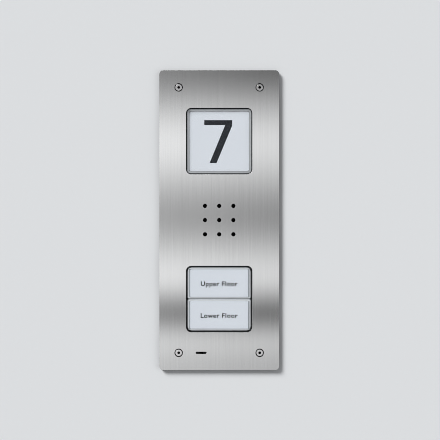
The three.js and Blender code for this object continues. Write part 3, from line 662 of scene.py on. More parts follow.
class Growth(Tree):
    """A Geometry Nodes tree with named inputs, run once to make a plain mesh."""

    KINDS = {float: "NodeSocketFloat", int: "NodeSocketInt", Vector: "NodeSocketVector",
             bpy.types.Object: "NodeSocketObject", bpy.types.Material: "NodeSocketMaterial"}

    def __init__(self, name, **given):
        super().__init__(bpy.data.node_groups.new(name, "GeometryNodeTree"))
        self.tree.is_modifier = True
        self.name, self.given = name, {}
        faces = self.tree.interface
        faces.new_socket("Geometry", in_out="OUTPUT", socket_type="NodeSocketGeometry")
        for label, value in given.items():
            kind = next(kind for kind in self.KINDS if isinstance(value, kind))
            socket = faces.new_socket(label.replace("_", " "), in_out="INPUT", socket_type=self.KINDS[kind])
            self.given[socket.identifier] = value
        self.entry = self.tree.nodes.new("NodeGroupInput")

    def input(self, label):
        return Value(self, self.entry.outputs[label])

    def ends_with(self, shape, coat):
        """Closes the tree with Realize Instances and Set Material."""
        shape = self.add("GeometryNodeRealizeInstances", {}, {"Geometry": shape})
        shape = self.add("GeometryNodeSetMaterial", {}, {"Geometry": shape, "Material": coat})
        exit_node = self.tree.nodes.new("NodeGroupOutput")
        self.tree.links.new(shape.socket, exit_node.inputs[0])

    def made(self, name, material):
        """Runs the tree and returns its result as an object with a plain mesh."""
        holder = add_object(name, bpy.data.meshes.new(name))
        modifier = holder.modifiers.new(self.name, "NODES")
        modifier.node_group = self.tree
        for identifier, value in self.given.items():
            modifier[identifier] = value
        return applied(holder, material)


def spread(name, form, material, columns=1, rows=1, column_pitch=0.0, row_pitch=0.0, middle=(0.0, 0.0)):
    """Copies of one small piece in columns and rows over the panel."""
    unit = form.to_object(f"{name}_unit")
    grid = Growth("Pieces on a grid", Piece=unit, Columns=int(columns), Rows=int(rows),
                  Column_pitch=float(column_pitch), Row_pitch=float(row_pitch),
                  Middle=place(*middle, 0.0), Finish=material)
    columns_in, rows_in = grid.input("Columns"), grid.input("Rows")
    number = grid.add("GeometryNodeInputIndex")
    column = grid.calc("MODULO", number, columns_in)
    row = grid.calc("FLOOR", grid.calc("DIVIDE", number, columns_in))
    across = (column - (columns_in - 1.0) * 0.5) * grid.input("Column pitch")
    up = (row - (rows_in - 1.0) * 0.5) * grid.input("Row pitch")
    spot = grid.add("ShaderNodeCombineXYZ", {}, {"X": across, "Z": up})
    spot = grid.add("ShaderNodeVectorMath", {"operation": "ADD"}, {0: spot, 1: grid.input("Middle")})
    points = grid.add("GeometryNodePoints", {}, {"Count": columns_in * rows_in, "Position": spot})
    piece = grid.add("GeometryNodeObjectInfo", {"transform_space": "ORIGINAL"},
                     {"Object": grid.input("Piece")}, output="Geometry")
    copies = grid.add("GeometryNodeInstanceOnPoints", {}, {"Points": points, "Instance": piece})
    grid.ends_with(copies, grid.input("Finish"))
    result = grid.made(name, material)
    bpy.data.objects.remove(unit)
    return result


def coil(name, material, middle, coil_diameter, wire, turns, length, back):
    """A coil spring that runs out of the wall from back, with an even pitch along its whole length."""
    path = Growth("Coil spring", Radius=(coil_diameter - wire) / 2, Wire_radius=wire / 2,
                  Turns=float(turns), Length=float(length - wire),
                  Foot=place(*middle, back + wire / 2), Finish=material)
    spiral = path.add("GeometryNodeCurveSpiral", {}, {
        "Resolution": 40, "Rotations": path.input("Turns"), "Start Radius": path.input("Radius"),
        "End Radius": path.input("Radius"), "Height": path.input("Length")})
    section = path.add("GeometryNodeCurvePrimitiveCircle", {}, {
        "Resolution": 10, "Radius": path.input("Wire radius")})
    wire_mesh = path.add("GeometryNodeCurveToMesh", {}, {
        "Curve": spiral, "Profile Curve": section, "Fill Caps": True})
    turned = path.add("GeometryNodeTransform", {}, {
        "Geometry": wire_mesh, "Rotation": (math.pi / 2, 0, 0), "Translation": path.input("Foot")})
    path.ends_with(turned, path.input("Finish"))
    return path.made(name, material)


# ------------------------------------------------------------------ copies of CAD nodes with softened edges


CORNER_FROM = math.radians(50)
FLAT_WITHIN = math.radians(0.6)


def softened(node, name, material, width=0.25 * MM, segments=2):
    """A copy of a CAD node with its long edges rounded, as a moulding's are."""
    data = frame["nodes"][node].data.copy()
    data.name = name
    form = bmesh.new()
    form.from_mesh(data)
    bmesh.ops.remove_doubles(form, verts=form.verts, dist=0.002 * MM)
    bmesh.ops.dissolve_limit(form, angle_limit=FLAT_WITHIN, verts=form.verts, edges=form.edges)
    shortest = 1.2 * width
    sharp = [edge for edge in form.edges
             if len(edge.link_faces) == 2 and edge.calc_face_angle(0.0) > CORNER_FROM
             and edge.calc_length() > shortest]
    bmesh.ops.bevel(form, geom=sharp, offset=width, offset_type="OFFSET", segments=segments, profile=0.5,
                    affect="EDGES", clamp_overlap=True)
    bmesh.ops.dissolve_degenerate(form, edges=form.edges, dist=0.001 * MM)
    bmesh.ops.triangulate(form, faces=[face for face in form.faces if len(face.verts) > 4])
    form.to_mesh(data)
    form.free()
    return add_object(name, data, material)


# ------------------------------------------------------------------ sizes and colours a user can change


def metres(name, description, default, **more):
    return FloatProperty(name=name, description=description, default=default, min=0.0,
                         subtype="DISTANCE", unit="LENGTH", precision=5, **more)


def hue(name, description, default):
    return FloatVectorProperty(name=name, description=description, default=default, subtype="COLOR",
                               min=0.0, max=1.0, size=3)


class PanelSizes(bpy.types.PropertyGroup):
    """Sizes of the steel front plate and its fixings."""

    thickness: metres("Thickness", "Thickness of the steel front plate", 3 * MM)
    corner: metres("Corner radius", "Radius of the plate's four corners", 4 * MM)
    edge: metres("Edge radius", "Rounding of the plate's front edge", 0.22 * MM)
    window: metres("Window size", "Side of each square window", 66.3 * MM)
    window_corner: metres("Window corner", "Corner radius of each window", 5.2 * MM)
    window_height: metres("Window height", "Height of each window's centre from the plate's", 79 * MM)
    hole: metres("Speaker hole", "Diameter of each speaker hole", 4.2 * MM)
    hole_pitch: metres("Hole pitch", "Distance between neighbouring speaker holes", 14.2 * MM)
    hole_rows: IntProperty(name="Hole rows", description="Speaker holes along each side", default=3, min=1)
    slot_length: metres("Microphone slot", "Length of the microphone slot", 10.8 * MM)
    slot_width: metres("Slot width", "Width of the microphone slot", 2.1 * MM)
    slot_offset: metres("Slot offset", "Distance of the slot to the left of the centre", 18 * MM)
    screw: metres("Screw diameter", "Diameter of the plate screws", 4 * MM)
    screw_head: metres("Screw head", "Diameter of the countersunk screw heads", 7.6 * MM)
    socket: metres("Hexagon socket", "Width across the flats of the screw's socket", 2.5 * MM)
    stud: metres("Stud diameter", "Diameter of the welded studs behind the plate", 3 * MM)
    nut: metres("Nut", "Width across the flats of the stud nuts", 5.5 * MM)


class WindowSizes(bpy.types.PropertyGroup):
    """Sizes of the clear number cover and the two clear call buttons."""

    cover_gap: metres("Cover gap", "Gap around the number cover", 0.65 * MM)
    cover_wall: metres("Cover wall", "Thickness of the number cover's rim", 2.5 * MM)
    cover_pane: metres("Cover pane", "Thickness of the number cover's front", 1.4 * MM)
    button_wall: metres("Button wall", "Thickness of a call button's rim", 1.3 * MM)
    button_pane: metres("Button pane", "Thickness of a call button's front", 1.6 * MM)
    button_corner: metres("Button corner", "Outer corner radius of the pair of buttons", 4.4 * MM)
    button_inner: metres("Inner corner", "Corner radius where the two buttons meet", 1 * MM)
    edge: metres("Edge radius", "Rounding of the clear pieces' front edges", 0.45 * MM)
    numeral_width: metres("Numeral width", "Width of the house number", 28 * MM)
    numeral_height: metres("Numeral height", "Height of the house number", 43 * MM)
    numeral_bar: metres("Numeral stroke", "Thickness of the number's top bar", 4.9 * MM)
    letters: metres("Letter height", "Height of the capital letters on the name cards", 4.7 * MM)
    upper_name: StringProperty(name="Upper name", description="Text on the upper name card",
                               default="Upper Floor")
    lower_name: StringProperty(name="Lower name", description="Text on the lower name card",
                               default="Lower Floor")


class PanelLook(bpy.types.PropertyGroup):
    """Colours of the main finishes, as linear values."""

    steel: hue("Steel", "Colour of the brushed steel", (0.66, 0.665, 0.67))
    steel_roughness: FloatProperty(name="Steel roughness", description="How softly the steel reflects",
                                   default=0.24, min=0.05, max=1.0)
    card: hue("Cards", "Colour of the number sheet and the name cards", (0.83, 0.86, 0.905))
    ink: hue("Ink", "Colour of the printed number and names", (0.010, 0.012, 0.016))
    box: hue("Wall box", "Colour of the wall box", (0.10, 0.105, 0.11))
    frame: hue("Light boxes", "Colour of the frames under the clear rims", (0.42, 0.44, 0.46))
    # This colour is the dark plastic of the shells, and also the painted shade in the gaps round the windows.
    surround_and_gap_shade: hue("Surrounds", "Colour of the frames and shells round the windows", (0.018, 0.019, 0.020))
    carrier: hue("Button carriers", "Colour of the button carriers", (0.46, 0.49, 0.52))


class StageSettings(bpy.types.PropertyGroup):
    """The wall, the lights and the camera."""

    view_width: metres("View width", "Width of wall that the camera sees", 440 * MM)
    distance: metres("Camera distance", "Distance of the camera from the front plate", 1.2)
    aim_right: FloatProperty(name="Aim right", description="How far right of the centre the camera stands",
                             default=0.8 * MM, subtype="DISTANCE", unit="LENGTH", precision=5)
    wall_tone: hue("Wall", "Colour of the wall", (0.80, 0.815, 0.83))
    sky: FloatProperty(name="Room light", description="Strength of the even light of the room",
                       default=0.235, min=0.0)
    key: FloatProperty(name="Key light", description="Strength of the light from the upper left",
                       default=3.75, min=0.0)


# ------------------------------------------------------------------ small shared steps

finishes = {}


def material_of(slot):
    if not finishes:
        scene = bpy.context.scene
        finishes.update(make_finishes(scene.intercom_look, scene.intercom_panel.window_height))
    return finishes[slot]


def arc(front, radius, outward=1, steps=4):
    """The quarter round of a wall's front edge."""
    turns = [step / steps * math.pi / 2 for step in range(steps + 1)]
    return [(outward * radius * (math.sin(a) - 1), front + radius * (math.cos(a) - 1)) for a in turns]


def rounded(front, back, radius, outward=1, steps=4):
    """The profile of a wall with a round front edge. Outward is +1 on an outside wall, -1 in a hole."""
    return arc(front, radius, outward, steps) + [(0, back + radius / 3), (-outward * radius / 3, back)]


def thread(crest, start, end, pitch, cut):
    """The profile of a thread from start down to end, with its crests at offset crest."""
    points, depth = [(crest, start)], start
    while depth - pitch > end:
        points += [(crest - cut, depth - pitch / 2), (crest, depth - pitch)]
        depth -= pitch
    return points


def lathe(points, middle=(0.0, 0.0), sides=40, ring=False):
    """A turned Form from (radius, depth) points, in millimetres."""
    outer = max(radius for radius, depth in points)
    profile = [((radius - outer) * MM, depth * MM) for radius, depth in points]
    return Form().sweep(Round(middle, 2 * outer * MM, sides), profile, ring=ring)


def facing_back(form, middle, level):
    """Turns a Form made facing out so that it faces into the wall, with its zero at level."""
    return form.moved(Matrix.Translation(place(*middle, level)) @ Matrix.Rotation(math.pi, 4, "Z"))


def lay_sheet_uv(data):
    """A UV map with u across the panel and v up it, in metres, that slants on the narrow edges."""
    layer = data.uv_layers.new(name="Sheet")
    for loop in data.loops:
        spot = data.vertices[loop.vertex_index].co
        layer.data[loop.index].uv = (spot.x + spot.y, spot.z + 0.7 * spot.y)


def piece(form, name, body, slot, *nodes, coat=None):
    """Makes a piece from a Form, in the finish of its slot unless another one is named."""
    return finish(form.to_object(name, material_of(coat or slot)), body, slot, *nodes)


def keep(node, body, slot, name, width=0.25 * MM, segments=2, coat=None):
    """Replaces a CAD node with a copy of it that has softened edges."""
    return finish(softened(node, name, material_of(coat or slot), width, segments), body, slot, node)


def weld(data):
    """Joins the vertices that lie on each other, and turns the faces outwards."""
    form = bmesh.new()
    form.from_mesh(data)
    bmesh.ops.remove_doubles(form, verts=form.verts, dist=0.001 * MM)
    bmesh.ops.recalc_face_normals(form, faces=form.faces)
    form.to_mesh(data)
    form.free()


CAPITALS = 0.72  # their height, as a share of the font's size
INK_HALF = 0.012 * MM
INK_GAP = 0.001 * MM
STROKE = 0.16 * MM


def lettering(name, body, text, middle, capitals, level):
    """A line of printed letters standing on a card. Its strokes are thicker than the font's by STROKE."""
    data = bpy.data.curves.new(name, "FONT")
    data.body, data.align_x, data.align_y = text, "CENTER", "CENTER"
    data.size, data.extrude, data.resolution_u = capitals / CAPITALS, INK_HALF, 3
    data.offset, data.space_character = STROKE, 1.12
    made = applied(add_object(name, data), material_of("print"))
    weld(made.data)
    ends = [vert.co.x for vert in made.data.vertices]
    shift = middle[0] - (min(ends) + max(ends)) / 2
    out = level + INK_GAP + INK_HALF
    made.data.transform(Matrix(((1, 0, 0, shift), (0, 0, -1, -out), (0, 1, 0, middle[1]), (0, 0, 0, 1))))
    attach(made, body)
    return made


# ------------------------------------------------------------------ operators, one for each group of pieces


class FrontPlate(bpy.types.Operator):
    """Build the brushed steel front plate with its windows, holes and studs"""

    bl_idname = "intercom.front_plate"
    bl_label = "Front plate"

    def execute(self, context):
        sizes = context.scene.intercom_panel
        room = Room("front_plate")
        front, back = room.front, room.front - sizes.thickness
        outline = Outline((0, 0), room.width, room.height, sizes.corner, 10)
        form = Form().sweep(outline, rounded(front, back, sizes.edge), self.holes(sizes, front, back))
        plate = form.to_object("face_plate", material_of("brushed_steel"))
        lay_sheet_uv(plate.data)
        finish(plate, "panel", "brushed_steel", "front_plate")
        self.studs(sizes, back, room.back)
        return {"FINISHED"}

    def holes(self, sizes, front, back):
        """The windows, the speaker holes, the microphone slot and the sunk screw holes."""
        window_edge, hole_edge, slot_edge = 0.22 * MM, 0.18 * MM, 0.15 * MM
        play, ledge = 0.5 * MM, 0.4 * MM
        screw_across, screw_up = Room("plate_screw_upper_right").centre
        found = []
        for _, up in HALVES:
            centre = (0, up * sizes.window_height)
            window = Outline(centre, sizes.window, sizes.window, sizes.window_corner, 10)
            found.append((window, rounded(front, back, window_edge, -1)))
        middle = (sizes.hole_rows - 1) / 2
        for row in range(sizes.hole_rows):
            for column in range(sizes.hole_rows):
                spot = ((column - middle) * sizes.hole_pitch, (row - middle) * sizes.hole_pitch)
                found.append((Round(spot, sizes.hole, 28), rounded(front, back, hole_edge, -1, 3)))
        slot = Outline((-sizes.slot_offset, -screw_up), sizes.slot_length, sizes.slot_width,
                       sizes.slot_width / 2)
        found.append((slot, rounded(front, back, slot_edge, -1, 3)))
        shank = sizes.screw + play
        mouth = sizes.screw_head / 2 + ledge - shank / 2
        sink = [(mouth + 0.05 * MM, front), (mouth, front - 0.06 * MM), (mouth, front - 0.7 * MM),
                (0.3 * MM, back + 0.3 * MM), (0, back + 0.2 * MM), (0, back + 0.1 * MM), (0.1 * MM, back)]
        for right, up in CORNERS:
            found.append((Round((right * screw_across, up * screw_up), shank, 40), sink))
        return found

    def studs(self, sizes, plate, tip):
        """The threaded studs on the back of the plate."""
        stud = Room("number_frame_nut_right").centre
        foot = plate + 0.4 * MM
        profile = [(-0.2 * MM, foot), (0, foot - 0.2 * MM),
                   *thread(0, foot - 1.2 * MM, tip + 0.4 * MM, 0.5 * MM, 0.22 * MM), (-0.35 * MM, tip)]
        form = Form().sweep(Round((0, 0), sizes.stud, 18), profile)
        studs = spread("plate_studs", form, material_of("screw_steel"), 2, 3, 2 * stud[0], stud[1])
        finish(studs, "panel", "brushed_steel")


class Fixings(bpy.types.Operator):
    """Build the plate screws, their brass inserts and the stud nuts"""

    bl_idname = "intercom.fixings"
    bl_label = "Screws, inserts and nuts"

    def execute(self, context):
        sizes = context.scene.intercom_panel
        across, up = Room("plate_screw_upper_right").centre
        self.screws(sizes, 2 * across, 2 * up)
        self.inserts(sizes, 2 * across, 2 * up)
        self.nuts(sizes)
        return {"FINISHED"}

    def screws(self, sizes, across, up):
        """Countersunk screws with a hexagon socket."""
        room = Room("plate_screw_upper_right")
        top, tip = room.front, room.back
        neck = sizes.screw / 2 - sizes.screw_head / 2
        head = [(-0.75 * MM, top), (-0.6 * MM, top - 0.05 * MM), (-0.15 * MM, top - 0.45 * MM),
                (-0.05 * MM, top - 0.6 * MM), (-0.05 * MM, top - 0.9 * MM),
                (neck + 0.1 * MM, top - 2.4 * MM), (neck, top - 2.6 * MM)]
        shank = [*thread(neck, top - 4.5 * MM, tip + 0.8 * MM, 0.7 * MM, 0.32 * MM),
                 (neck - 0.3 * MM, tip + 0.3 * MM), (neck - 0.7 * MM, tip)]
        across_corners = sizes.socket / math.cos(math.pi / 6)
        soft, bottom = 0.12 * MM, top - 1.8 * MM
        socket = [(soft, top), (0, top - soft), (0, bottom), (-across_corners * 0.3, bottom - 0.3 * MM)]
        form = Form().sweep(Round((0, 0), sizes.screw_head, 36), head + shank,
                            sockets=[(Round((0, 0), across_corners, 6), socket)])
        screws = spread("plate_screws", form, material_of("screw_head"), 2, 2, across, up)
        finish(screws, "panel", "screw_steel", *[f"plate_screw_{corner}" for corner in CORNER_NAMES])

    def inserts(self, sizes, across, up):
        """Brass inserts, knurled outside, with a groove round the middle."""
        room = Room("threaded_insert_upper_right")
        bore, outer, soft = (sizes.screw + 0.3 * MM) / 2, room.width / 2, 0.05 * MM
        steps = [(-0.25, 0), (0, 0.25), (0, 3.2), (-0.3, 3.4), (-0.3, 4.6), (0, 4.8), (0, 7.75), (-0.25, 8)]
        outside = [(offset * MM, room.front - down * MM) for offset, down in steps]
        inside = [(bore - outer, room.back + soft), (bore - outer, room.front - soft)]
        form = Form().sweep(Knurled((0, 0), 2 * outer, 24, 0.16 * MM), outside + inside, ring=True)
        inserts = spread("threaded_inserts", form, material_of("brass"), 2, 2, across, up)
        finish(inserts, "panel", "brass", *[f"threaded_insert_{corner}" for corner in CORNER_NAMES])

    def nuts(self, sizes):
        """Hexagon nuts on the studs."""
        room = Room("number_frame_nut_right")
        across_corners = sizes.nut / math.cos(math.pi / 6)
        profile = [(-0.35 * MM, room.front), (0, room.front - 0.3 * MM), (0, room.back + 0.3 * MM),
                   (-0.35 * MM, room.back)]
        soft = 0.2 * MM
        hole = [(soft, room.front), (0, room.front - soft), (0, room.back + soft), (soft, room.back)]
        form = Form().sweep(Round((0, 0), across_corners, 6, math.pi / 2), profile,
                            [(Round((0, 0), sizes.stud + 0.15 * MM, 18), hole)])
        nuts = spread("stud_nuts", form, material_of("zinc_nut"), 2, 3, 2 * room.centre[0], room.centre[1])
        modules = ("number_frame", "speech_housing", "button_frame")
        finish(nuts, "panel", "zinc_nut", *[f"{module}_nut_{side}" for module in modules for side in SIDES])


class NumberWindow(bpy.types.Operator):
    """Build the clear number cover, the printed number sheet and the light box behind it"""

    bl_idname = "intercom.number_window"
    bl_label = "House number"

    def execute(self, context):
        sizes = context.scene.intercom_panel
        windows = context.scene.intercom_windows
        centre = (0, sizes.window_height)
        room = Room("number_cover")
        side = sizes.window - 2 * windows.cover_gap
        reach = room.width / 2 - side / 2
        flange = Room("number_frame").front
        ceiling, wall_in = room.front - windows.cover_pane, -windows.cover_wall
        rest = [(0, room.front - windows.edge), (0, flange), (reach, flange), (reach, room.back),
                (wall_in, room.back), (wall_in, ceiling), (wall_in - 1.5 * MM, ceiling)]
        outline = Outline(centre, side, side, sizes.window_corner - windows.cover_gap, 10)
        form = Form().sweep(outline, arc(room.front, windows.edge)[:-1] + soften(rest, 0.3 * MM))
        piece(form, "number_window", "panel", "clear_cover", "number_cover")

        room = Room("number_sheet")
        outline = Outline(centre, room.width, room.height, 1.6 * MM)
        form = Form().sweep(outline, rounded(room.front, room.back, 0.06 * MM))
        piece(form, "number_card", "panel", "number_sheet", "number_sheet")

        wide, high, bar = windows.numeral_width, windows.numeral_height, windows.numeral_bar
        lean, foot = 0.81 * wide, 0.25 * wide
        left, right, top = -0.535 * wide, 0.465 * wide, high / 2
        points = [(left, top), (left, top - bar), (right - foot, top - bar), (right - lean, -top),
                  (right - lean + foot, -top), (right, top - bar * 1.1), (right, top)]
        lowered = 0.35 * MM
        points = [(x, y + sizes.window_height - lowered) for x, y in points]
        form = Form().prism(points, room.front, room.front + 0.03 * MM)
        numeral = form.to_object("house_number", material_of("print"))
        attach(numeral, "panel")

        room = Room("number_diffuser")
        outline = Outline(centre, room.width, room.height, 1.2 * MM)
        form = Form().sweep(outline, rounded(room.front, room.back, 0.3 * MM))
        piece(form, "light_diffuser", "panel", "diffuser", "number_diffuser")
        keep("number_frame", "panel", "frame_plastic", "number_light_box")
        return {"FINISHED"}


class CallButtons(bpy.types.Operator):
    """Build the two clear call buttons with their name cards, carriers, springs and switches"""

    bl_idname = "intercom.call_buttons"
    bl_label = "Call buttons"

    def execute(self, context):
        windows = context.scene.intercom_windows
        travel = 1.2 * MM
        keep("button_frame", "panel", "frame_plastic", "button_light_box", coat="dark_plastic")
        for half, up in HALVES:
            body = f"{half}_button"
            room = Room(f"{half}_call_button")
            outer, inner = windows.button_corner, windows.button_inner
            radii = (outer, outer, inner, inner) if up > 0 else (inner, inner, outer, outer)
            ceiling, wall_in = room.front - windows.button_pane, -windows.button_wall
            rest = [(0, room.front - windows.edge), (0, room.back), (wall_in, room.back),
                    (wall_in, ceiling), (wall_in - 1.2 * MM, ceiling)]
            outline = Outline(room.centre, room.width, room.height, radii)
            form = Form().sweep(outline, arc(room.front, windows.edge)[:-1] + soften(rest, 0.2 * MM))
            piece(form, f"{half}_button_cap", body, "clear_button", f"{half}_call_button")

            room = Room(f"{half}_name_label")
            form = Form().sweep(Outline(room.centre, room.width, room.height, 0.8 * MM),
                                rounded(room.front, room.back, 0.05 * MM))
            piece(form, f"{half}_name_card", body, "name_label", f"{half}_name_label")
            words = windows.upper_name if up > 0 else windows.lower_name
            spot = (0, room.centre[1] - 0.9 * MM)
            text = lettering(f"{half}_name_text", body, words, spot, windows.letters, room.front)
            keep(f"{half}_button_carrier", body, "carrier_plastic", f"{half}_carrier", 0.15 * MM)

            room = Room(f"{half}_return_spring")
            spring = coil(f"{half}_spring", material_of("spring_steel"), room.centre,
                          coil_diameter=6.6 * MM, wire=0.7 * MM, turns=4.0, length=room.depth, back=room.back)
            finish(spring, "panel", "spring_steel", f"{half}_return_spring")
            place(*room.centre, room.back)
            1 - travel / room.depth
            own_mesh(spring)
            keep(f"{half}_switch_body", "panel", "switch_black", f"{half}_switch", 0.12 * MM)
            plunger = f"{half}_plunger"
            keep(f"{half}_switch_plunger", plunger, "plunger", f"{half}_plunger_button", 0.2 * MM, 3)
        return {"FINISHED"}


class Speaker(bpy.types.Operator):
    """Build the loudspeaker, its cloth and gasket, and the speech housing"""

    bl_idname = "intercom.speaker"
    bl_label = "Loudspeaker"

    def execute(self, context):
        cloth = lathe([(0.2, 0.88), (22.8, 0.88), (23, 0.75), (22.8, 0.62), (0.2, 0.62)], sides=64)
        piece(cloth, "speaker_cloth", "panel", "membrane", "speaker_membrane")
        ring = lathe([(22.2, 0.45), (24.8, 0.45), (25, 0.25), (25, -0.65), (24.8, -0.85), (22.2, -0.85),
                      (22, -0.65), (22, 0.25)], sides=64, ring=True)
        piece(ring, "speaker_seal", "panel", "seal_foam", "speaker_gasket")
        front = [(0.3, -7.4), (2.6, -7.7), (4.4, -8.5), (5.4, -9.6), (5.9, -9.6), (16.4, -2.7),
                 (16.9, -2.4), (17.4, -1.7), (18.0, -1.3), (18.7, -1.3), (19.3, -1.8), (19.6, -2.2),
                 (20, -2.2)]
        rear = [(20, -2.5), (19.5, -2.6), (18.9, -1.9), (18.4, -1.6), (17.8, -1.9), (17.2, -2.8),
                (16.6, -3.1), (6.0, -10.2), (5.6, -11.8), (5.2, -11.8), (5.1, -10.2), (0.3, -8.0)]
        piece(lathe(front + rear, sides=64), "paper_cone", "panel", "paper_cone", "speaker_cone")
        magnet = lathe([(0.3, -12.15), (12.6, -12.15), (12.9, -12.4), (12.9, -13.6), (13.8, -13.7),
                        (14, -13.9), (14, -16.6), (13.8, -16.8), (12.9, -16.9), (12.9, -17.7),
                        (12.5, -18.1), (3, -18.1), (2.6, -17.7), (0.3, -17.7)], sides=56)
        piece(magnet, "ring_magnet", "panel", "magnet", "speaker_magnet")
        keep("speaker_basket", "panel", "basket_steel", "pressed_basket", 0.15 * MM)
        keep("speech_housing", "panel", "frame_plastic", "speech_shell", coat="dark_plastic")
        return {"FINISHED"}


class Microphone(bpy.types.Operator):
    """Build the microphone capsule and its rubber boot"""

    bl_idname = "intercom.microphone"
    bl_label = "Microphone"

    def execute(self, context):
        middle = Room("microphone_boot").centre
        boot = lathe([(2.1, 0.9), (6.1, 0.9), (6.5, 0.5), (6.5, -7.1), (6.1, -7.5), (5.1, -7.5),
                      (4.95, -7.3), (4.95, -0.75), (2.0, -0.75), (2.0, 0.8)], middle, 44, ring=True)
        piece(boot, "rubber_boot", "panel", "grommet_rubber", "microphone_boot")
        capsule = lathe([(0.2, -1.1), (1.1, -1.1), (1.2, -0.95), (4.1, -0.95), (4.2, -0.82), (4.5, -0.82),
                         (4.74, -1.1), (4.74, -6.9), (4.6, -7.1), (4.2, -7.1), (4.1, -7.45), (0.2, -7.45)],
                        middle, 40)
        piece(capsule, "capsule", "panel", "capsule_metal", "microphone_capsule")
        felt = lathe([(0.2, -0.78), (3.7, -0.78), (3.85, -0.85), (3.85, -1.0), (0.2, -1.0)], middle, 32)
        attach(felt.to_object("capsule_felt", material_of("membrane")), "panel")
        return {"FINISHED"}


class Electronics(bpy.types.Operator):
    """Build the circuit boards, lamps, terminals, trimmer and leads"""

    bl_idname = "intercom.electronics"
    bl_label = "Circuit boards"

    def execute(self, context):
        for node in ("number_board", "button_board", "main_board"):
            keep(node, "panel", "circuit_board", f"{node}_slab", 0.1 * MM, 1)
        for name, nodes in (("number_lamps", ("number_led_left", "number_led_right")),
                            ("button_lamps", ("upper_button_led", "lower_button_led"))):
            rooms = [Room(node) for node in nodes]
            (left, high), (right, low) = rooms[0].centre, rooms[1].centre
            self.lamps(name, rooms[0], nodes, abs(right - left), abs(high - low),
                       ((left + right) / 2, (high + low) / 2))
        self.chip()
        capacitor = lathe([(0.2, 0), (3.7, 0), (3.9, 0.2), (3.9, 1.0), (3.55, 1.5), (3.9, 2.0), (3.9, 10.5),
                           (3.7, 10.85), (3.3, 11), (3.2, 10.8), (0.2, 10.8)])
        room = Room("supply_capacitor")
        capacitor.moved(Matrix.Scale(-1, 4, Vector((0, 1, 0))))
        capacitor.moved(Matrix.Translation(place(*room.centre, room.front)))
        piece(capacitor, "can_capacitor", "panel", "capacitor", "supply_capacitor")
        self.terminals()
        keep("volume_trimmer_body", "panel", "trimmer_blue", "trimmer_shell", 0.2 * MM)
        keep("volume_trimmer_rotor", "volume_rotor", "rotor_white", "trimmer_rotor", 0.12 * MM)
        for lead in ("number", "button", "microphone", "speaker"):
            keep(f"{lead}_lead", "panel", "lead_grey", f"{lead}_wiring", 0.15 * MM)
        return {"FINISHED"}

    def lamps(self, name, room, nodes, across, up, middle):
        """Square lamp bodies with domed lenses."""
        half, lens, tip = room.width / 2, 1.8 * MM, 0.02 * MM
        shoulder = room.back + 1.6 * MM
        rise = room.front - shoulder
        turns = [step / 5 * math.pi / 2 for step in (5, 4, 3, 2, 1)]
        dome = [(max(lens * math.cos(a), tip) - half, shoulder + rise * math.sin(a)) for a in turns]
        profile = [*dome, (lens - half, shoulder), (lens - half, room.back + 0.3 * MM)]
        body = Form().sweep(Outline((0, 0), 2 * half, 2 * half, 0.5 * MM, 3),
                            rounded(shoulder, room.back, 0.2 * MM))
        body.sweep(Round((0, 0), 2 * half, 24), profile)
        columns, rows = (2 if across > 0 else 1), (2 if up > 0 else 1)
        made = spread(name, body, material_of("led"), columns, rows, across, up, middle)
        finish(made, "panel", "led", *nodes)

    def chip(self):
        """A moulded chip with a seam, and two rows of legs."""
        room = Room("speech_chip")
        seam = room.back + room.depth * 0.45
        profile = [(-0.35 * MM, room.front), (0, seam + 0.1 * MM), (0, seam - 0.1 * MM),
                   (-0.35 * MM, room.back + 0.1 * MM), (-0.45 * MM, room.back)]
        form = Form().sweep(Outline(room.centre, room.width, room.height, 0.3 * MM, 3), profile)
        piece(form, "speech_circuit", "panel", "chip", "speech_chip")
        legs_per_side, pitch = 13, 1.27 * MM
        wide, long, thick = 0.2 * MM, 0.8 * MM, 0.25 * MM
        leg = [(-wide, -long), (wide, -long), (wide, long), (-wide, long)]
        form = Form().prism(leg, room.front - thick, room.front)
        legs = spread("circuit_legs", form, material_of("zinc_nut"), legs_per_side, 2, pitch, room.height,
                      room.centre)
        finish(legs, "panel", "zinc_nut")

    def terminals(self):
        """The terminal block, with a slotted screw in each of its ways."""
        keep("terminal_block", "panel", "terminal_green", "supply_terminals", 0.2 * MM)
        room = Room("terminal_block")
        ways, pitch = 6, 5 * MM
        slot = Outline((0, 0), 2.2 * MM, 0.5 * MM, 0.2 * MM, 3)
        cut = [(0, 0), (0, -0.5 * MM), (-0.1 * MM, -0.6 * MM)]
        head = [(-0.25 * MM, 0), (0, -0.2 * MM), (0, -1.2 * MM), (-0.2 * MM, -1.3 * MM)]
        form = Form().sweep(Round((0, 0), 3.2 * MM, 24), head, sockets=[(slot, cut)])
        facing_back(form, (0, 0), room.back + 1.4 * MM)
        screws = spread("terminal_screws", form, material_of("screw_steel"), ways, 1, pitch, 0, room.centre)
        finish(screws, "panel", "screw_steel")


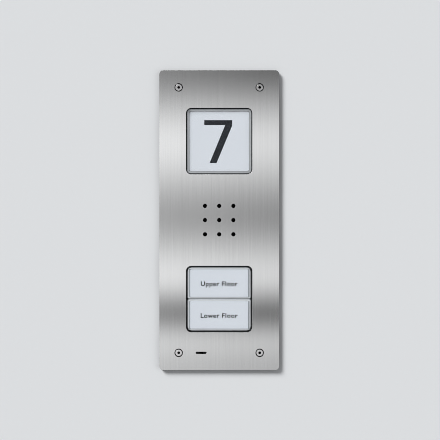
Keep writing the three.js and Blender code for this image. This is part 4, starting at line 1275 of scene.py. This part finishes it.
class WallBox(bpy.types.Operator):
    """Build the wall box, the seal under the plate and the cable grommet"""

    bl_idname = "intercom.wall_box"
    bl_label = "Wall box"

    SOFT = 0.25 * MM
    RIB_HEIGHT = 0.9 * MM

    def execute(self, context):
        sizes = context.scene.intercom_panel
        keep("wall_box", "panel", "box_plastic", "flush_box", 0.4 * MM, 3)
        self.mouldings()
        room = Room("plate_seal")
        band, soft = 4 * MM, 0.25 * MM
        profile = [(-soft, room.front), (0, room.front - soft), (0, room.back + soft), (-soft, room.back),
                   (soft - band, room.back), (-band, room.back + soft), (-band, room.front - soft),
                   (soft - band, room.front)]
        outline = Outline(room.centre, room.width, room.height, sizes.corner + 0.5 * MM)
        form = Form().sweep(outline, profile, ring=True)
        piece(form, "edge_seal", "panel", "seal_foam", "plate_seal")
        room = Room("cable_grommet")
        top, foot = room.top / MM, room.bottom / MM
        points = [(4, top - 0.6), (4.5, top - 0.1), (5.4, top), (6.6, top), (6.9, top - 0.25), (7.2, top),
                  (9.3, top), (9.8, top - 0.3), (10, top - 0.8), (9.9, top - 1.5), (7.95, top - 1.6),
                  (7.95, foot + 1.6), (9.9, foot + 1.5), (10, foot + 0.8), (9.5, foot + 0.15), (9, foot),
                  (4.8, foot), (4, foot + 0.7)]
        form = lathe(points, sides=48, ring=True)
        upright = Matrix.Rotation(-math.pi / 2, 4, "X")
        form.moved(Matrix.Translation((0, -(room.back + room.front) / 2, 0)) @ upright)
        piece(form, "entry_grommet", "panel", "grommet_rubber", "cable_grommet")
        return {"FINISHED"}

    def raised(self, base, tip, wide):
        """The profile of a low raised ring, which starts just under the surface at base."""
        soft = self.SOFT if tip > base else -self.SOFT
        return [(0, base - soft), (0, tip - soft), (-self.SOFT, tip), (self.SOFT - wide, tip),
                (-wide, tip - soft), (-wide, base - soft)]

    def mouldings(self):
        """The ribs on the back of the box, and the rings of the cable knock-outs on its sides."""
        box, form = Room("wall_box"), Form()
        base, tip = box.back, box.back - self.RIB_HEIGHT
        for inset, wide in ((3 * MM, 1.4 * MM), (9 * MM, 1.0 * MM)):
            border = Outline(box.centre, box.width - 2 * inset, box.height - 2 * inset, 5 * MM, 6)
            form.sweep(border, self.raised(base, tip, wide), ring=True)
        bar = [(0, base + self.SOFT), (0, tip + self.SOFT), (-self.SOFT, tip)]
        for share in (-0.3, -0.15, 0.0, 0.15, 0.3):
            line = Outline((0, share * box.height), box.width - 22 * MM, 1.2 * MM, 0.5 * MM, 3)
            form.sweep(line, bar)
        for share in (-0.075, 0.075):
            spot = (0, share * box.height)
            for across, wide in ((26 * MM, 1.0 * MM), (17 * MM, 0.8 * MM)):
                form.sweep(Round(spot, across, 48), self.raised(base, tip, wide), ring=True)
        self.add_relief(form, "box_ribs")
        self.side_mouldings(box, "left", -1, -box.left)
        self.side_mouldings(box, "right", 1, box.right)

    def side_mouldings(self, box, name, turn, side):
        """Three knock-outs of two rings each, between two upright lines."""
        form, deep = Form(), (box.front + box.back) / 2
        for share in (-0.28, 0.0, 0.28):
            spot = (-turn * deep, share * box.height)
            for across in (24 * MM, 16 * MM):
                form.sweep(Round(spot, across, 48), self.raised(side, side + 0.7 * MM, 0.9 * MM), ring=True)
        wide = 1.2 * MM
        for back in (0.5 * MM, 39.5 * MM):
            line = Outline((turn * (-box.back - back - wide), 0), wide, box.height - 10 * MM, 0.5 * MM, 3)
            form.sweep(line, [(0, side - self.SOFT), (0, side + 0.5 * MM), (-0.2 * MM, side + 0.7 * MM)])
        form.moved(Matrix.Rotation(turn * math.pi / 2, 4, "Z"))
        self.add_relief(form, f"box_{name}_knockouts")

    def add_relief(self, form, name):
        relief = form.to_object(name, material_of("box_plastic"))
        shade(relief.data)
        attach(relief, "panel")


class Stage(bpy.types.Operator):
    """Set up the wall, the lights, the camera and the colour management"""

    bl_idname = "intercom.stage"
    bl_label = "Wall, lights and camera"

    SENSOR = 36  # in millimetres, as is the lens

    def execute(self, context):
        stage = context.scene.intercom_stage
        scene = context.scene
        scene.view_settings.view_transform = "Standard"
        scene.cycles.filter_width = 0.9
        scene.cycles.caustics_reflective = scene.cycles.caustics_refractive = False
        self.wall(stage)
        self.room_light(scene, stage)
        self.reflection_card()
        camera = bpy.data.cameras.new("Camera")
        camera.sensor_width = self.SENSOR
        camera.lens = self.SENSOR * stage.distance / stage.view_width
        camera.clip_end = 30
        view = bpy.data.objects.new("Camera", camera)
        view.location = place(stage.aim_right, 0.1 * MM, Room("front_plate").front + stage.distance)
        view.rotation_euler = (math.pi / 2, 0, 0)
        scene.collection.objects.link(view)
        scene.camera = view
        return {"FINISHED"}

    def wall(self, stage):
        """A plastered wall with a cut-out for the box. From behind it isn't there."""
        box = Room("wall_box")
        form = Form()
        outside = form.loop(Outline((0, 0), 8, 8, 0.1, 2).at(), 0)
        opening = form.loop(Outline(box.centre, box.width + 1 * MM, box.height + 1 * MM, 3 * MM, 3).at(), 0)
        form.cover([outside, opening])
        paint = Paint("Wall paint", Roughness=0.9, Specular_IOR_Level=0.2)
        plaster = paint.noise(260.0, 5.0)
        light, dark = stage.wall_tone, tuple(c * 0.985 for c in stage.wall_tone)
        paint.set("Base_Color", paint.mix(plaster, dark, tuple(light)))
        paint.bump(plaster, 0.05 * MM, 0.1)
        behind = paint.add("ShaderNodeNewGeometry", output="Backfacing")
        paint.share(paint.add("ShaderNodeBsdfTransparent"), behind)
        wall = form.to_object("wall", paint.material)
        for face in wall.data.polygons:
            if face.normal.y > 0:
                face.flip()

    def room_light(self, scene, stage):
        world = bpy.data.worlds.new("Room")
        world.use_nodes = True
        sky = world.node_tree.nodes["Background"]
        sky.inputs["Color"].default_value = (0.97, 0.985, 1.0, 1)
        sky.inputs["Strength"].default_value = stage.sky
        scene.world = world
        for name, direction, strength, softness in (("Key light", (-0.95, -0.80, 1.06), stage.key, 24),
                                                    ("Fill light", (0.9, -0.7, -0.05), 0.4, 45),
                                                    ("Back light", (0.5, 1.0, 0.8), 1.4, 40)):
            lamp = bpy.data.lights.new(name, "SUN")
            lamp.energy, lamp.angle = strength, math.radians(softness)
            made = bpy.data.objects.new(name, lamp)
            made.rotation_mode = "QUATERNION"
            made.rotation_quaternion = Vector(direction).to_track_quat("Z", "Y")
            scene.collection.objects.link(made)

    def reflection_card(self):
        """A large card in front of the panel, seen only in the steel. It has three soft lights across it,
        with the dark of the room between them, and it is brighter towards the left."""
        width, height, out = 1.6, 1.0, 0.25
        paint = Paint("Reflection card")
        spot = paint.add("ShaderNodeTexCoord", output="Object")
        across = paint.add("ShaderNodeSeparateXYZ", {}, {"Vector": spot}, output="X")
        up = paint.add("ShaderNodeSeparateXYZ", {}, {"Vector": spot}, output="Z")
        bands = paint.ramp(0.5 + up * 2.44, (0.06, 0.5), (0.14, 0.7), (0.225, 0.05), (0.33, 0.88),
                           (0.51, 0.28), (0.73, 0.9), (0.95, 0.1), smooth=True)
        tilt = paint.ramp(0.5 + across * 2.0, (0.0, 0.36), (0.75, 0.0))
        glow = paint.add("ShaderNodeEmission", {}, {"Color": bands + tilt, "Strength": 1.1})
        paint.tree.links.new(glow.socket, paint.output)
        card = Form()
        card.cover([card.loop(Outline((0, 0), width, height, 0.01, 2).at(), out)])
        made = card.to_object("reflection_card", paint.material)
        made.visible_camera = made.visible_diffuse = made.visible_shadow = False
        made.visible_transmission = made.visible_volume_scatter = False
        metal = bpy.data.collections.new("Reflecting metal")
        for piece in ("face_plate", "plate_screws"):
            metal.objects.link(bpy.data.objects[piece])
        made.light_linking.receiver_collection = metal


STEPS = (FrontPlate, Fixings, NumberWindow, CallButtons, Speaker, Microphone, Electronics, WallBox, Stage)
GROUPS = (("intercom_panel", PanelSizes), ("intercom_windows", WindowSizes), ("intercom_look", PanelLook),
          ("intercom_stage", StageSettings))


class IntercomPanel(bpy.types.Panel):
    """Sizes, colours and building steps of the door intercom panel"""

    bl_idname = "VIEW3D_PT_intercom"
    bl_label = "Door intercom panel"
    bl_space_type = "VIEW_3D"
    bl_region_type = "UI"
    bl_category = "Intercom"

    def draw(self, context):
        for name, group in GROUPS:
            box = self.layout.box()
            for field in group.__annotations__:
                box.prop(getattr(context.scene, name), field)
        for step in STEPS:
            self.layout.operator(step.bl_idname)


def register():
    for item in (*[group for name, group in GROUPS], *STEPS, IntercomPanel):
        bpy.utils.register_class(item)
    for name, group in GROUPS:
        setattr(bpy.types.Scene, name, PointerProperty(type=group))


def unregister():
    for name, group in GROUPS:
        delattr(bpy.types.Scene, name)
    for item in (IntercomPanel, *reversed(STEPS), *[group for name, group in GROUPS]):
        bpy.utils.unregister_class(item)


def main():
    register()
    for step in STEPS:
        group, name = step.bl_idname.split(".")
        getattr(getattr(bpy.ops, group), name)()


if __name__ == "__main__":
    main()
